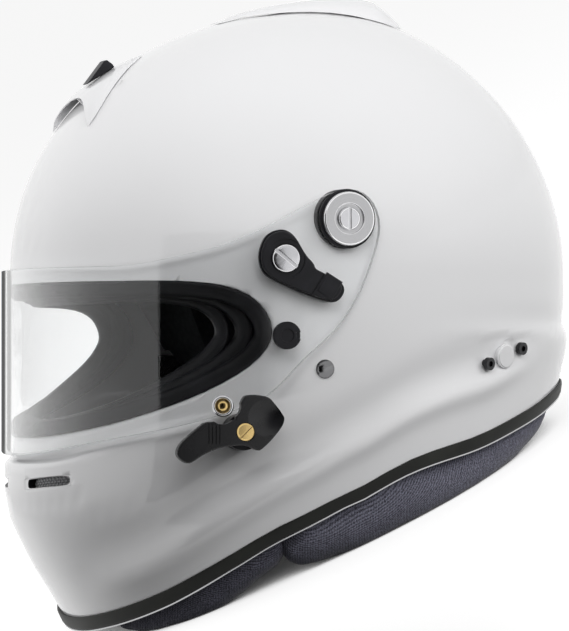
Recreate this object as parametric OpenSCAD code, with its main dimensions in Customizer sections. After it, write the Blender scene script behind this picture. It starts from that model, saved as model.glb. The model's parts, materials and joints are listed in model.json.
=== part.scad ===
// Full-face helmet of the car-racing pattern, standing on its neck pads.
// Shapes are worked out in the worn frame: X to the wearer's left, Y to the rear, Z up,
// with its origin on the visor axis. The module worn() turns them onto the table.
// Angles named phi run round the shell from the front (0) over the left side (90) to the rear (180).

/* [Shell] */
// Half width of the shell at its widest level
shell_half_w = 122; // [116:1:128]
// Length from the section centre to the forehead
shell_front = 149.7; // [145:0.1:155]
// Length from the section centre to the back of the head
shell_rear = 153; // [147:0.5:157]
// Height of the crown above the widest level
crown_rise = 142; // [138:1:146]
// Distance from the visor axis down to the widest level
widest_drop = 25.5; // [24:0.5:28]
// Distance of the section centre behind the visor axis
centre_back = 13; // [12:0.5:14]
// Distance that the top of the crown leans to the rear
crown_lean = 19; // [10:1:24]
// Squareness of the front half of a section, 2 is an ellipse
front_power = 2.25; // [2:0.05:2.5]
// Squareness of the rear half of a section
rear_power = 2.05; // [2:0.05:2.3]
// Thickness of the shell
shell_wall = 4; // [3:0.5:5]
// Depth of the seat that the visor's lower edge closes into
seat_depth = 4; // [2:0.5:5]
// Width of the step at the lower end of that seat
seat_step = 4; // [3:0.5:6]

/* [Stance] */
// Angle by which the face looks up when the helmet stands on a table
stand_tilt = 25; // [22:0.5:27]
// Height of the visor axis above the table
axis_height = 161.2; // [159:0.2:163]
// Distance of the visor axis behind the middle of the footprint
axis_back = 19.2; // [15:0.1:24]

/* [Eyeport] */
// Distance from the visor axis down to the upper edge of the eyeport
port_top = 32; // [30:0.5:34]
// Visible width of the gasket
gasket_w = 8; // [7:0.5:9]
// Depth of the gasket behind the outer surface of the shell
gasket_deep = 6.3; // [5:0.1:8]

/* [Edge trim] */
// Height of the trim's outer leg
trim_leg = 5.5; // [4:0.5:8]
// Thickness of the rubber of the trim
trim_wall = 1.6; // [1.2:0.1:2]
// Thickness of the trim under the edge of the shell
trim_foot = 2.6; // [2:0.2:4]

/* [Visor] */
// Clearance between the widest part of the shell and the visor's arms
visor_gap = 0.8; // [0.6:0.1:2]
// Gap between the shell's front and the visor
visor_front_gap = 2; // [1.5:0.1:3]
// Thickness of the visor
visor_thk = 3; // [2:0.2:3.2]
// Inner radius of the visor beside the arms
visor_side_r = 135; // [130:1:140]
// Inner radius of the visor at the front corners
visor_corner_r = 100; // [96:1:104]

/* [Visor pivots] */
// Radius of the hub that the visor turns on
hub_r = 10; // [8:0.5:11]
// Radius of the black rings under and over the visor
pivot_ring_r = 15.5; // [14.5:0.5:16.5]
// Thickness of the outer black ring
pivot_ring_h = 1.5; // [1:0.1:2]
// Radius of the brushed disc
disc_r = 14; // [13:0.5:14.5]
// Thickness of the brushed disc
disc_h = 3.3; // [2.8:0.1:4]
// Radius of the recess in the disc
disc_recess_r = 8; // [7:0.5:9]
// Depth of that recess
disc_recess = 1.6; // [1:0.1:2]
// Radius of the head of the pivot screw
pivot_head_r = 6; // [5:0.5:6.5]
// Radius of the shank of the pivot screw
pivot_shank_r = 3; // [2.5:0.5:3.5]
// Radius of the flange of the pivot nut
nut_flange_r = 9; // [8:0.5:11]

/* [Demist levers] */
// Distance of the lever screw in front of the visor axis
lever_fore = 33.9; // [32:0.5:36]
// Distance of the lever screw below the visor axis
lever_down = 20.9; // [19:0.5:22]
// Radius of the round head of the lever
lever_head_r = 13.2; // [12:0.2:13.6]
// Thickness of the lever's plate
lever_plate = 2.4; // [2:0.2:3]
// Height of the lever's round head
lever_head_h = 5; // [4.4:0.2:6]
// Length from the screw to the end of the thumb pad
lever_reach = 31.5; // [29:0.5:32]
// Radius of the head of the lever screw
lever_screw_r = 7.4; // [6.5:0.1:8]
// Radius of the shank of the lever screw
lever_shank_r = 3; // [2.5:0.5:3.5]

/* [Tear-off posts] */
// Distance of the post in front of the visor axis
post_fore = 33; // [31:0.5:35]
// Distance of the post below the visor axis
post_down = 60.7; // [59:0.5:62]
// Radius of the post
post_r = 7.2; // [6.4:0.1:7.6]
// Height of the post
post_h = 4.2; // [3.5:0.1:5]

/* [Visor latch] */
// Distance of the latch screw in front of the visor axis
latch_fore = 55.2; // [54:0.2:56]
// Distance of the latch screw below the visor axis
latch_down = 110.5; // [109.5:0.5:112]
// Thickness of the latch lever
latch_thk = 5; // [4:0.5:5.5]
// Radius of the pedestal under the latch lever
latch_base_r = 9.5; // [8:0.5:10]
// Radius of the head of the latch screw
latch_screw_r = 4.6; // [4:0.1:5]
// Radius of the shank of the latch screw
latch_shank_r = 2.5; // [2:0.1:3]
// Distance of the latch pin in front of the visor axis
pin_fore = 64.5; // [63.5:0.5:65.5]
// Distance of the latch pin below the visor axis
pin_down = 97.1; // [96.5:0.5:98]
// Radius of the collar of the latch pin
collar_r = 5.65; // [5:0.05:5.8]
// Radius of the latch pin
latch_pin_r = 3.2; // [2.6:0.1:3.6]
// Height of the collar over the visor
collar_h = 7.5; // [6:0.5:8.5]

/* [Air ducts] */
// Wall of the brow duct
duct_wall = 2; // [1.6:0.2:2.4]
// Half width of the brow duct at its mouth
brow_half_w = 30; // [27:1:32]
// Height of the brow duct
brow_h = 5.6; // [5:0.2:7]
// Height of the top duct at its tail
tail_h = 9; // [8:0.5:11]
// Half width of the top duct at its tail
tail_half_w = 25; // [22:1:28]
// Width of the brow slider
slider_w = 8; // [6:0.5:10]
// Height of a chin vent slot
vent_h = 5.7; // [5:0.1:6.5]
// Length of a chin vent slot across the helmet
vent_w = 41; // [36:1:43]
// Thickness of the wire mesh in the chin vents
grille_thk = 1; // [0.8:0.1:1.4]
// Thickness of the chin vent shutter
shutter_thk = 1.8; // [1.4:0.1:2.2]

/* [Chin strap] */
// Radius of the head of the strap rivet
rivet_r = 5; // [4:0.2:6]
// Radius of the shank of the strap rivet
rivet_shank_r = 2.2; // [1.8:0.1:2.5]
// Width of the webbing
strap_w = 25; // [20:1:26]
// Thickness of the webbing
strap_thk = 1.6; // [1.2:0.1:1.8]
// Radius of the wire of the rings
ring_wire_r = 1.5; // [1.2:0.1:1.5]

/* [Tether anchors] */
// Radius of the head of the anchor screw
anchor_head_r = 3.35; // [3:0.05:4]
// Radius of the shank of the anchor screw
anchor_shank_r = 2; // [1.6:0.1:2.4]
// Distance from the plug to either anchor screw
anchor_pitch = 13.4; // [12.5:0.1:14.5]
// Radius of the head of the anchor plug
plug_r = 6.45; // [6:0.05:7]
// Radius of the shank of the anchor plug
plug_shank_r = 4.9; // [4:0.1:5]

/* [Lining] */
// Half width of the room for the head
head_half_w = 80; // [76:1:82]
// Thickness of the crown pad
crown_pad_thk = 8; // [6:0.5:10]
// Thickness of the chin liner
chin_liner_thk = 14; // [10:1:16]
// Thickness of the cheek pads
cheek_thk = 42; // [36:1:44]
// Thickness of the neck roll
roll_thk = 30; // [26:1:32]

/* [Hidden] */
// Half width inside the visor's arms
visor_half_w = shell_half_w + visor_gap;
phi_step = 5;
phis = [0 : phi_step : 360 - phi_step];

// Front profile below the widest level: [drop, change of the length to the front]
chin_profile = [
    [0, 0], [50, 0.6], [90, 2.6], [107, 3.4], [119, 3.3], [126, 2.3], [138, -2.6],
    [158, -13.2], [169, -20.5], [183, -28.9], [200, -37]
];
// Rear profile below the widest level, with the lower lip
nape_profile = [[0, 0], [15, 0], [26, -1], [33, 1.8], [40, 1.5], [50, -1], [62, -3.5], [190, -20]];
// Side profile below the widest level: [drop, change of the half width]
side_profile = [[0, 0], [30, 0], [60, -0.8], [90, -2.2], [120, -5], [150, -10], [185, -18], [205, -23]];
// Level of the trim's upper edge round the shell: [phi, z]
edge_line = [
    [0, -209], [14, -207], [29, -202], [44, -193.5], [56, -183], [66, -171.5], [73, -162],
    [82, -150.5], [90, -138], [98, -127], [105, -120.5], [117, -112.5], [130, -102],
    [141, -94], [150, -88], [165, -82], [180, -80.5]
];
// Level of the lower end of the visor's seat round the shell: [phi, z]
seat_line = [
    [0, -126.5], [20, -125], [35, -117.5], [45, -111.5], [54, -106], [70, -97],
    [90, -85], [120, -70], [180, -54]
];
// Edge of the eyeport from the front over the rear end and back: [phi, z]
port_pts = [
    [0, -port_top], [13, -port_top], [26, -port_top], [38, -port_top], [48, -port_top],
    [56, -port_top - 0.6], [63, -port_top - 2.8], [68.4, -40], [71.7, -48.5], [72.9, -58],
    [71.9, -67], [68.4, -76.5], [62.5, -85.5], [55, -93.5], [46, -100.5], [35, -106.8],
    [23, -111], [14, -113], [6, -113.8], [0, -113.9]
];
// Outline of the visor seen from the side: [y, z]
visor_pts = [
    [-160, -24.4], [-135, -24.6], [-112, -24.4], [-97, -22.4], [-82.6, -18.9], [-67.8, -15],
    [-52.7, -9], [-38.6, -2.1], [-26, 4.6], [-15.4, 10], [-6, 14], [2, 15.4], [9.5, 13.6],
    [15.4, 8], [18.4, 0], [18.4, -8], [15.8, -18], [11.4, -30], [6.2, -41], [0.8, -49.5],
    [-5, -57], [-13, -64.5], [-23.2, -73.3], [-32, -82.5], [-41.9, -91.5], [-57, -98.8],
    [-77, -105.4], [-92, -109.3], [-107.4, -112.8], [-125, -117.5], [-140, -122.6], [-160, -131]
];
// Half width of the brow duct along its run: [share of the run, share of the half width]
brow_plan = [[0, 1], [0.15, 0.96], [0.4, 0.72], [0.7, 0.4], [1, 0.08]];
// Height of the brow duct along its run: [share of the run, share of the height]
brow_rise = [[0, 0.9], [0.12, 1], [0.25, 0.86], [0.5, 0.68], [0.75, 0.42], [1, 0.08]];
// Height of the top duct along its run: [y, share of the height]
top_rise = [[-30, 0.05], [-15, 0.3], [15, 0.55], [40, 0.84], [54, 1], [60, 0.82], [66, 0.5], [71, 0.28]];
// Half width of the top duct along its run: [y, share of the half width]
top_plan = [[-30, 0.3], [0, 0.52], [30, 0.8], [54, 1], [63, 0.98], [71, 0.86]];
// Lower edge of the impact liner: [phi, z]
liner_edge = [
    [0, -24], [40, -24], [60, -24], [70, -26], [80, -66], [90, -103], [100, -94], [120, -79],
    [140, -63], [160, -52], [180, -48]
];
// Reach of the cheek pad below the trim: [phi, length]
cheek_drop = [[12, 3], [20, 6], [35, 10], [50, 15], [60, 18], [68, 18], [76, 15]];
// Upper edge of the cheek pad: [phi, z]
cheek_top = [[12, -184], [30, -178], [46, -168], [56, -150], [64, -128], [76, -112]];
// Reach of the neck roll below the trim: [phi, length]
roll_drop = [[74, 16], [84, 27], [92, 31.5], [100, 32], [115, 26], [130, 19], [150, 14], [180, 9]];
// Upper edge of the neck roll: [phi, z]
roll_top = [[74, -122], [90, -120], [105, -101], [125, -84], [150, -68], [180, -58]];

function smooth(u) = let (c = min(1, max(0, u))) c * c * (3 - 2 * c);
function fold(phi) = let (p = abs(phi) % 360) p > 180 ? 360 - p : p;
function unit(v) = v / norm(v);

// Slope of a table at its row i, flat at the first row
function table_slope(t, i) =
    i == 0 ? 0 :
    i == len(t) - 1 ? (t[i][1] - t[i - 1][1]) / (t[i][0] - t[i - 1][0]) :
    (t[i + 1][1] - t[i - 1][1]) / (t[i + 1][0] - t[i - 1][0]);
// Smooth curve through the rows of a table
function curve(t, q, i = 0) =
    (i < len(t) - 2 && q > t[i + 1][0]) ? curve(t, q, i + 1) :
    let (
        h = t[i + 1][0] - t[i][0],
        u = (q - t[i][0]) / h,
        a = t[i][1],
        b = t[i + 1][1],
        ma = table_slope(t, i) * h,
        mb = table_slope(t, i + 1) * h
    )
    (2 * u * u * u - 3 * u * u + 1) * a + (u * u * u - 2 * u * u + u) * ma
    + (3 * u * u - 2 * u * u * u) * b + (u * u * u - u * u) * mb;

// A level counts as an angle on the dome and as a length below it, so that it runs on smoothly.
function level_z(s) = -widest_drop + crown_rise * (s > 0 ? sin(s) : s * PI / 180);
function z_level(z) =
    let (q = (z + widest_drop) / crown_rise)
    q > 0 ? asin(min(1, q)) : q * 180 / PI;
function drop_at(s) = max(0, -widest_drop - level_z(s));
function dome_k(s) = s > 0 ? cos(s) : 1;
function front_at(s) = (shell_front + curve(chin_profile, drop_at(s))) * dome_k(s);
function rear_at(s) = (shell_rear + curve(nape_profile, drop_at(s))) * dome_k(s);
function half_at(s) = (shell_half_w + curve(side_profile, drop_at(s))) * dome_k(s);
function centre_at(s) = centre_back + crown_lean * pow(1 - dome_k(s), 2);

// Depth of the visor's seat at an angle and a level
function seat_at(phi, z) =
    let (p = fold(phi), low = curve(seat_line, p))
    seat_depth * smooth((z - low + seat_step / 2) / seat_step)
    * (1 - smooth((z - low) / (-port_top - low)))
    * (1 - smooth((p - 50) / 35));

// Smooth line through points, with k steps between neighbours
function between(a, b, c, d, t) =
    (2 * b + (c - a) * t + (2 * a - 5 * b + 4 * c - d) * t * t + (3 * b - a - 3 * c + d) * t * t * t) / 2;
function smooth_line(p, k) = [
    for (i = [0 : len(p) - 2])
        for (j = [0 : k - 1])
            between(p[max(i - 1, 0)], p[i], p[i + 1], p[min(i + 2, len(p) - 1)], j / k),
    p[len(p) - 1]
];

function round_pow(c, n) = sign(c) * pow(abs(c), 2 / n);
// Plain surface of the shell
function surf(phi, s) =
    let (
        n = cos(phi) > 0 ? front_power : rear_power,
        cut = seat_at(phi, level_z(s)),
        reach = (cos(phi) > 0 ? front_at(s) : rear_at(s)) - cut
    )
    [
        (half_at(s) - cut) * round_pow(sin(phi), n),
        centre_at(s) - reach * round_pow(cos(phi), n),
        level_z(s)
    ];
// Outward normal of the surface
function surf_normal(phi, s) =
    s > 89.5 ? [0, 0, 1] :
    unit(cross(surf(phi + 1, s) - surf(phi - 1, s), surf(phi, min(90, s + 0.5)) - surf(phi, s - 0.5)));
// Surface moved outward by a distance
function skin(phi, s, off) = surf(phi, s) + off * surf_normal(phi, s);

// Levels of the shell's rings at one angle, from the lower edge to near the crown
edge_rows = 6;
side_rows = 7;
dome_rows = 11;
dome_start = z_level(-20);
function rim_z(phi) = curve(edge_line, fold(phi)) - trim_leg;
function shell_levels(phi) =
    let (low = rim_z(phi), seat = curve(seat_line, fold(phi)))
    [
        for (i = [0 : edge_rows]) z_level(low + (seat - seat_step / 2 - low) * i / edge_rows),
        for (i = [0 : side_rows - 1])
            let (z0 = seat + seat_step / 2)
            z_level(z0 + (-20 - z0) * i / side_rows),
        for (i = [0 : dome_rows - 1]) dome_start + (90 - dome_start) * i / dome_rows
    ];

// Faces that join ring i to ring i + 1 of a grid with n points a ring
function band(n, i, base = 0, flip = false) = [
    for (j = [0 : n - 1])
        let (
            a = base + i * n + j,
            b = base + i * n + (j + 1) % n,
            c = a + n,
            d = b + n
        )
        each (flip ? [[a, b, d], [a, d, c]] : [[a, d, b], [a, c, d]])
];
// Closed cup between an outer and an inner grid of rings, each with its own top point
module cup(outer, inner, top_out, top_in) {
    n = len(outer[0]);
    rows_o = len(outer);
    rows_i = len(inner);
    start_i = rows_o * n;
    top_o = start_i + rows_i * n;
    pts = [for (r = outer) each r, for (r = inner) each r, top_out, top_in];
    faces = [
        for (i = [0 : rows_o - 2]) each band(n, i),
        for (i = [0 : rows_i - 2]) each band(n, i, start_i, true),
        for (j = [0 : n - 1]) [(rows_o - 1) * n + j, top_o, (rows_o - 1) * n + (j + 1) % n],
        for (j = [0 : n - 1])
            [start_i + (rows_i - 1) * n + (j + 1) % n, top_o + 1, start_i + (rows_i - 1) * n + j],
        for (j = [0 : n - 1])
            let (a = j, b = (j + 1) % n, c = start_i + j, d = start_i + (j + 1) % n)
            each [[a, b, d], [a, d, c]]
    ];
    polyhedron(pts, faces);
}

// Closed slab between two grids of points, the first one on the outer side
module slab(outer, inner) {
    m = len(outer);
    n = len(outer[0]);
    half = m * n;
    pts = [for (r = outer) each r, for (r = inner) each r];
    faces = [
        for (i = [0 : m - 2])
            for (j = [0 : n - 2])
                let (a = i * n + j, b = a + 1, c = a + n, d = c + 1)
                each [
                    [a, d, b], [a, c, d],
                    [half + a, half + b, half + d], [half + a, half + d, half + c]
                ],
        for (j = [0 : n - 2])
            let (a = j, b = j + 1, c = (m - 1) * n + j, d = c + 1)
            each [[a, b, half + b], [a, half + b, half + a], [d, c, half + c], [d, half + c, half + d]],
        for (i = [0 : m - 2])
            let (a = i * n, c = a + n, b = a + n - 1, d = b + n)
            each [[c, a, half + a], [c, half + a, half + c], [b, d, half + d], [b, half + d, half + b]]
    ];
    polyhedron(pts, faces);
}
// Part of a layer that follows the shell, between two offsets from its surface
module skin_block(phi0, phi1, z0, z1, low, high, nu, nv) {
    angles = [for (i = [0 : nu]) phi0 + (phi1 - phi0) * i / nu];
    levels = [for (k = [0 : nv]) z_level(z0 + (z1 - z0) * k / nv)];
    slab(
        [for (s = levels) [for (a = angles) skin(a, s, high)]],
        [for (s = levels) [for (a = angles) skin(a, s, low)]]
    );
}
// Body through rings of points, closed in a loop or with domed ends
module sweep(rings, loop) {
    n = len(rings[0]);
    m = len(rings);
    first = [for (c = [0 : 2]) let (q = [for (p = rings[0]) p[c]]) total(q) / n];
    last = [for (c = [0 : 2]) let (q = [for (p = rings[m - 1]) p[c]]) total(q) / n];
    pts = [for (r = rings) each r, first, last];
    faces = [
        for (i = [0 : m - 2]) each band(n, i),
        if (loop)
            for (j = [0 : n - 1])
                let (a = (m - 1) * n + j, b = (m - 1) * n + (j + 1) % n, c = j, d = (j + 1) % n)
                each [[a, d, b], [a, c, d]],
        if (!loop)
            for (j = [0 : n - 1])
                each [
                    [j, (j + 1) % n, m * n],
                    [(m - 1) * n + (j + 1) % n, (m - 1) * n + j, m * n + 1]
                ]
    ];
    polyhedron(loop ? [for (r = rings) each r] : pts, faces);
}
function total(q, i = 0) = i == len(q) ? 0 : q[i] + total(q, i + 1);

// Level on the dome over a place in plan
function over(x, y, s) =
    let (
        d = y - centre_at(s),
        n = d < 0 ? front_power : rear_power,
        r = d < 0 ? front_at(s) : rear_at(s)
    )
    pow(abs(x) / half_at(s), n) + pow(abs(d) / r, n) - 1;
function dome_level(x, y, low = 0, high = 89.9, k = 20) =
    let (m = (low + high) / 2)
    k == 0 ? m :
    over(x, y, m) < 0 ? dome_level(x, y, m, high, k - 1) : dome_level(x, y, low, m, k - 1);
function roof_z(x, y) = level_z(dome_level(x, y));
// Point over a place in plan, raised from the dome along its normal
function roof(x, y, off) =
    let (
        z = roof_z(x, y),
        gx = (roof_z(x + 0.5, y) - roof_z(x - 0.5, y)),
        gy = (roof_z(x, y + 0.5) - roof_z(x, y - 0.5))
    )
    [x, y, z] + off * unit([-gx, -gy, 1]);

// Angle on the shell under a place seen from the side
function phi_of(y, z) =
    let (
        s = z_level(z),
        d = y - centre_at(s),
        n = d < 0 ? front_power : rear_power,
        r = d < 0 ? front_at(s) : rear_at(s),
        q = pow(min(1, abs(d) / r), n / 2)
    )
    d < 0 ? acos(q) : 180 - acos(q);
port_line = smooth_line(port_pts, 2);
function port_point(i) = surf(port_line[i][0], z_level(port_line[i][1]));

// Plan of the visor: a straight arm, then three arcs that run into each other. The arm is as long
// as the reach to the front asks
side_turn = 35;
corner_turn = 65;
corner_step = visor_side_r - visor_corner_r;
corner_x = visor_half_w - visor_side_r + corner_step * cos(side_turn);
visor_front_r = visor_corner_r + corner_x / cos(corner_turn);
front_step = visor_front_r - visor_corner_r;
visor_reach = shell_front - centre_back + visor_front_gap;
arm_y = visor_front_r - visor_reach + corner_step * sin(side_turn) - front_step * sin(corner_turn);
side_c = [visor_half_w - visor_side_r, arm_y];
corner_c = side_c + corner_step * [cos(side_turn), -sin(side_turn)];
front_c = [0, corner_c[1] + front_step * sin(corner_turn)];
visor_outer_r = visor_side_r + visor_thk;
function visor_turn(y) = y > arm_y ? 0 : asin((arm_y - y) / visor_outer_r);
function visor_x(y) = side_c[0] + visor_outer_r * cos(visor_turn(y));
visor_face = visor_half_w + visor_thk;

// Middles of the chin vent slots
vent_x = 14 + vent_w / 2;
vent_z = -137.2;
vent_slope = 4;
// Place and turn of the latch lever
latch_turn = 8;
latch_travel = 14;
latch_x = shell_half_w + 0.2;
// Places of the rivet and of the middle of the tether anchor
rivet_y = -9.9;
rivet_z = -77.9;
anchor_phi = 123;
anchor_z = -70.6;
anchor_slope = 18;

// Outer faces of the visor's ring and clamp disc
ring_face = visor_face + 0.1;
disc_face = ring_face + pivot_ring_h + 0.05;
// Foot of the brow slider
slider_y = -102.1;

// Turns and lifts a piece from the worn frame onto the table
module worn() {
    translate([0, axis_back, axis_height]) rotate([-stand_tilt, 0, 0]) children();
}
module both_sides() {
    children();
    mirror([1, 0, 0]) children();
}
// Stands a drawing up to be seen from the left side: right is rearward, up is up
module sideways() {
    rotate([90, 0, 90]) children();
}
// Place on the shell, the drawing's Z along its normal
module on_skin(phi, z) {
    s = z_level(z);
    n = surf_normal(phi, s);
    translate(surf(phi, s))
        rotate([0, 0, atan2(n[1], n[0])])
            rotate([0, -asin(n[2]), 0])
                sideways() children();
}
// Place on the outer face of the visor
module on_visor(y, z) {
    translate([visor_x(y), y, z]) rotate([0, 0, -visor_turn(y)]) sideways() children();
}
module latch_place() {
    translate([latch_x, -latch_fore, -latch_down]) rotate([0, 0, -latch_turn]) sideways() children();
}
module rod(r, z0, z1) {
    translate([0, 0, z0]) cylinder(r = r, h = z1 - z0, $fn = r > 9 ? 72 : 40);
}
module ring(r_out, r_in, z0, z1) {
    difference() {
        rod(r_out, z0, z1);
        rod(r_in, z0 - 1, z1 + 1);
    }
}
module slot(width, z0, turn) {
    rotate([0, 0, turn]) translate([-20, -width / 2, z0]) cube([40, width, 10]);
}

module shell_blank() {
    outer = [
        for (k = [0 : edge_rows + side_rows + dome_rows])
            [for (phi = phis) let (l = shell_levels(phi)) skin(phi, l[k], 0)]
    ];
    inner = [
        for (k = [0 : edge_rows + side_rows + dome_rows])
            [for (phi = phis) let (l = shell_levels(phi)) skin(phi, l[k], -shell_wall)]
    ];
    cup(outer, inner, skin(0, 90, 0), skin(0, 90, -shell_wall));
}
module port_cut() {
    n = len(port_line) - 1;
    edge = [for (i = [0 : n]) let (p = port_point(i)) [p[1], p[2]]];
    translate([-150, 0, 0])
        sideways()
            linear_extrude(height = 300)
                polygon(concat([[-220, -port_top]], edge, [[-220, edge[n][1] - 30]]));
}
module vent_shape(grow) {
    translate([vent_x, vent_z])
        rotate(vent_slope)
            square([vent_w + 2 * grow, vent_h + 2 * grow], center = true);
}
module front_cut(depth) {
    translate([0, -90, 0]) rotate([90, 0, 0]) linear_extrude(height = depth) children();
}
module outer_shell() {
    color("white") worn() difference() {
        shell_blank();
        port_cut();
        both_sides() {
            front_cut(80) vent_shape(0);
            sideways() rod(pivot_shank_r + 0.2, shell_half_w - 30, shell_half_w + 20);
            on_skin(phi_of(rivet_y, rivet_z), rivet_z) rod(rivet_shank_r + 0.1, -12, 6);
            on_skin(anchor_phi, anchor_z) {
                rod(plug_shank_r + 0.2, -12, 6);
                rotate(anchor_slope) {
                    translate([anchor_pitch, 0, 0]) rod(anchor_shank_r + 0.1, -12, 6);
                    translate([-anchor_pitch, 0, 0]) rod(anchor_shank_r + 0.1, -12, 6);
                }
            }
        }
        latch_place() rod(latch_shank_r + 0.1, -30, 0);
    }
}

module shell_trim() {
    in_face = -shell_wall - 0.3;
    section = [
        [trim_leg, 0.3], [trim_leg, 1.4], [trim_leg - 1, 0.3 + trim_wall], [0, 0.3 + trim_wall],
        [-0.7 * trim_foot, 1.1], [-trim_foot, -0.8], [-trim_foot, -shell_wall + 0.6],
        [-0.7 * trim_foot, -shell_wall - 1.1], [0, in_face - trim_wall],
        [trim_leg + 1, in_face - trim_wall], [trim_leg + 1, in_face], [-0.3, in_face], [-0.3, 0.3]
    ];
    color("#1b1c1a") worn()
        sweep([
            for (phi = phis)
                let (z = rim_z(phi))
                [for (q = section) skin(phi, z_level(z + q[0]), q[1])]
        ], true);
}

module eyeport_gasket() {
    n = len(port_line) - 1;
    w = gasket_w;
    section = [
        [0.4, 0.5], [1.3, 1], [2.8, 0.9], [3.6, 0.2], [4.6, 0.4], [6.4, -0.4],
        [w, -1.9], [w, -gasket_deep], [0.4, -gasket_deep]
    ];
    half = [
        for (i = [0 : n])
            let (
                p = port_point(i),
                t = port_point(min(i + 1, n)) - port_point(i == n ? n - 2 : max(i - 1, 0)),
                a = unit([0, t[2], -t[1]]),
                m = surf_normal(port_line[i][0], z_level(port_line[i][1])),
                b = unit(m - (m * a) * a)
            )
            [for (q = section) p + q[0] * a + q[1] * b]
    ];
    other = [for (i = [n - 1 : -1 : 1]) [for (p = half[i]) [-p[0], p[1], p[2]]]];
    color("#141516") worn() sweep(concat(half, other), true);
}

// Half of one face of the visor in plan: a straight arm, then three arcs up to the middle
function visor_side(off) = concat(
    [[visor_half_w + off, 45]],
    arc_points(side_c, visor_side_r + off, 0, side_turn),
    arc_points(corner_c, visor_corner_r + off, side_turn, corner_turn),
    arc_points(front_c, visor_front_r + off, corner_turn, 90),
    [front_c - [0, visor_front_r + off]]
);
function arc_points(c, r, a0, a1) = [for (a = [a0 : 2.5 : a1 - 1]) c + r * [cos(a), -sin(a)]];
function other_side(side) = [for (i = [len(side) - 2 : -1 : 0]) [-side[i][0], side[i][1]]];
function backwards(q) = [for (i = [len(q) - 1 : -1 : 0]) q[i]];
module visor_plan() {
    outer = concat(visor_side(visor_thk), other_side(visor_side(visor_thk)));
    inner = concat(visor_side(0), other_side(visor_side(0)));
    polygon(concat(outer, backwards(inner)));
}
module visor() {
    color([0.85, 0.88, 0.9, 0.35]) worn() difference() {
        intersection() {
            translate([0, 0, -150]) linear_extrude(height = 180) visor_plan();
            translate([-150, 0, 0])
                sideways() linear_extrude(height = 300) polygon(smooth_line(visor_pts, 2));
        }
        both_sides() {
            sideways() rod(hub_r + 0.05, visor_half_w - 20, visor_half_w + 20);
            on_visor(-lever_fore, -lever_down) rod(lever_shank_r + 0.05, -8, 5);
            on_visor(-post_fore, -post_down) rod(2.1, -8, 5);
        }
        on_visor(-pin_fore, -pin_down) rod(latch_pin_r + 0.05, -8, 5);
    }
}

module visor_pivot_bosses() {
    color("#111213") worn() both_sides() difference() {
        sideways() {
            rod(pivot_ring_r, shell_half_w - 14, visor_half_w - 0.1);
            rod(hub_r, shell_half_w - 14, visor_face + 0.05);
        }
        skin_block(76, 97, -22, 22, -14, 0.2, 8, 10);
        sideways() rod(pivot_shank_r + 0.1, shell_half_w - 22, shell_half_w + 20);
    }
}
module visor_pivot_rings() {
    color("#111213") worn() both_sides()
        sideways() ring(pivot_ring_r, pivot_shank_r + 0.1, ring_face, ring_face + pivot_ring_h);
}
module visor_pivot_discs() {
    color("#b9bbbd") worn() both_sides() sideways() difference() {
        translate([0, 0, disc_face])
            rotate_extrude($fn = 96)
                polygon([
                    [0, 0], [disc_r, 0], [disc_r, disc_h - 0.6], [disc_r - 0.6, disc_h], [0, disc_h]
                ]);
        rod(pivot_shank_r + 0.1, visor_face - 20, visor_face + 20);
        rod(disc_recess_r, disc_face + disc_h - disc_recess, visor_face + 20);
    }
}
module visor_pivot_screws() {
    seat = disc_face + disc_h - disc_recess + 0.05;
    color("#c3c5c7") worn() both_sides() sideways() difference() {
        union() {
            rod(pivot_shank_r, shell_half_w - 12, seat + 0.5);
            translate([0, 0, seat])
                rotate_extrude($fn = 60)
                    polygon([
                        [0, 0], [pivot_head_r, 0], [pivot_head_r, 1.4], [pivot_head_r - 0.7, 2], [0, 2]
                    ]);
        }
        slot(1.6, seat + 1, 90);
    }
}
module visor_pivot_nuts() {
    color("#8f9193") worn() both_sides() difference() {
        sideways() {
            rod(nut_flange_r, shell_half_w - 9, shell_half_w - 2);
            translate([0, 0, shell_half_w - 15]) cylinder(r = nut_flange_r - 3, h = 7, $fn = 6);
        }
        skin_block(78, 95, -14, 14, -shell_wall - 0.4, 6, 5, 6);
        sideways() rod(pivot_shank_r + 0.05, shell_half_w - 22, shell_half_w + 20);
    }
}

module demist_lever() {
    on_visor(-lever_fore, -lever_down) difference() {
        union() {
            translate([0, 0, 0.15])
                rotate_extrude($fn = 72)
                    polygon([
                        [0, 0], [lever_head_r, 0], [lever_head_r, lever_head_h - 0.7],
                        [lever_head_r - 0.7, lever_head_h], [0, lever_head_h]
                    ]);
            rotate([0, 0, -32]) {
                translate([8, -4.2, 0.2]) cube([lever_reach - 12, 8.4, lever_plate]);
                translate([lever_reach - 12, -6.2, 0.15]) cube([12, 12.4, lever_plate]);
                translate([lever_reach - 11, -5.2, 1]) cube([10, 10.4, lever_head_h - 1.4]);
                translate([lever_reach - 10, -4.2, 2]) cube([8, 8.4, lever_head_h - 1.6]);
            }
        }
        rod(lever_shank_r + 0.05, -2, 12);
        rod(lever_screw_r + 0.5, lever_head_h - 1.65, 12);
    }
}
module demist_lever_left() {
    color("#17181a") worn() demist_lever();
}
module demist_lever_right() {
    color("#17181a") worn() mirror([1, 0, 0]) demist_lever();
}
module lever_screws() {
    seat = lever_head_h - 1.6;
    color("#d5d6d8") worn() both_sides() on_visor(-lever_fore, -lever_down) difference() {
        union() {
            rod(lever_shank_r, -visor_thk, seat + 0.5);
            translate([0, 0, seat])
                rotate_extrude($fn = 72)
                    polygon([
                        [0, 0], [lever_screw_r, 0], [lever_screw_r, 1.8],
                        [lever_screw_r - 0.5, 2.5], [lever_screw_r - 2, 3], [0, 3.2]
                    ]);
        }
        slot(1.7, seat + 1.8, -38);
    }
}
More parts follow.
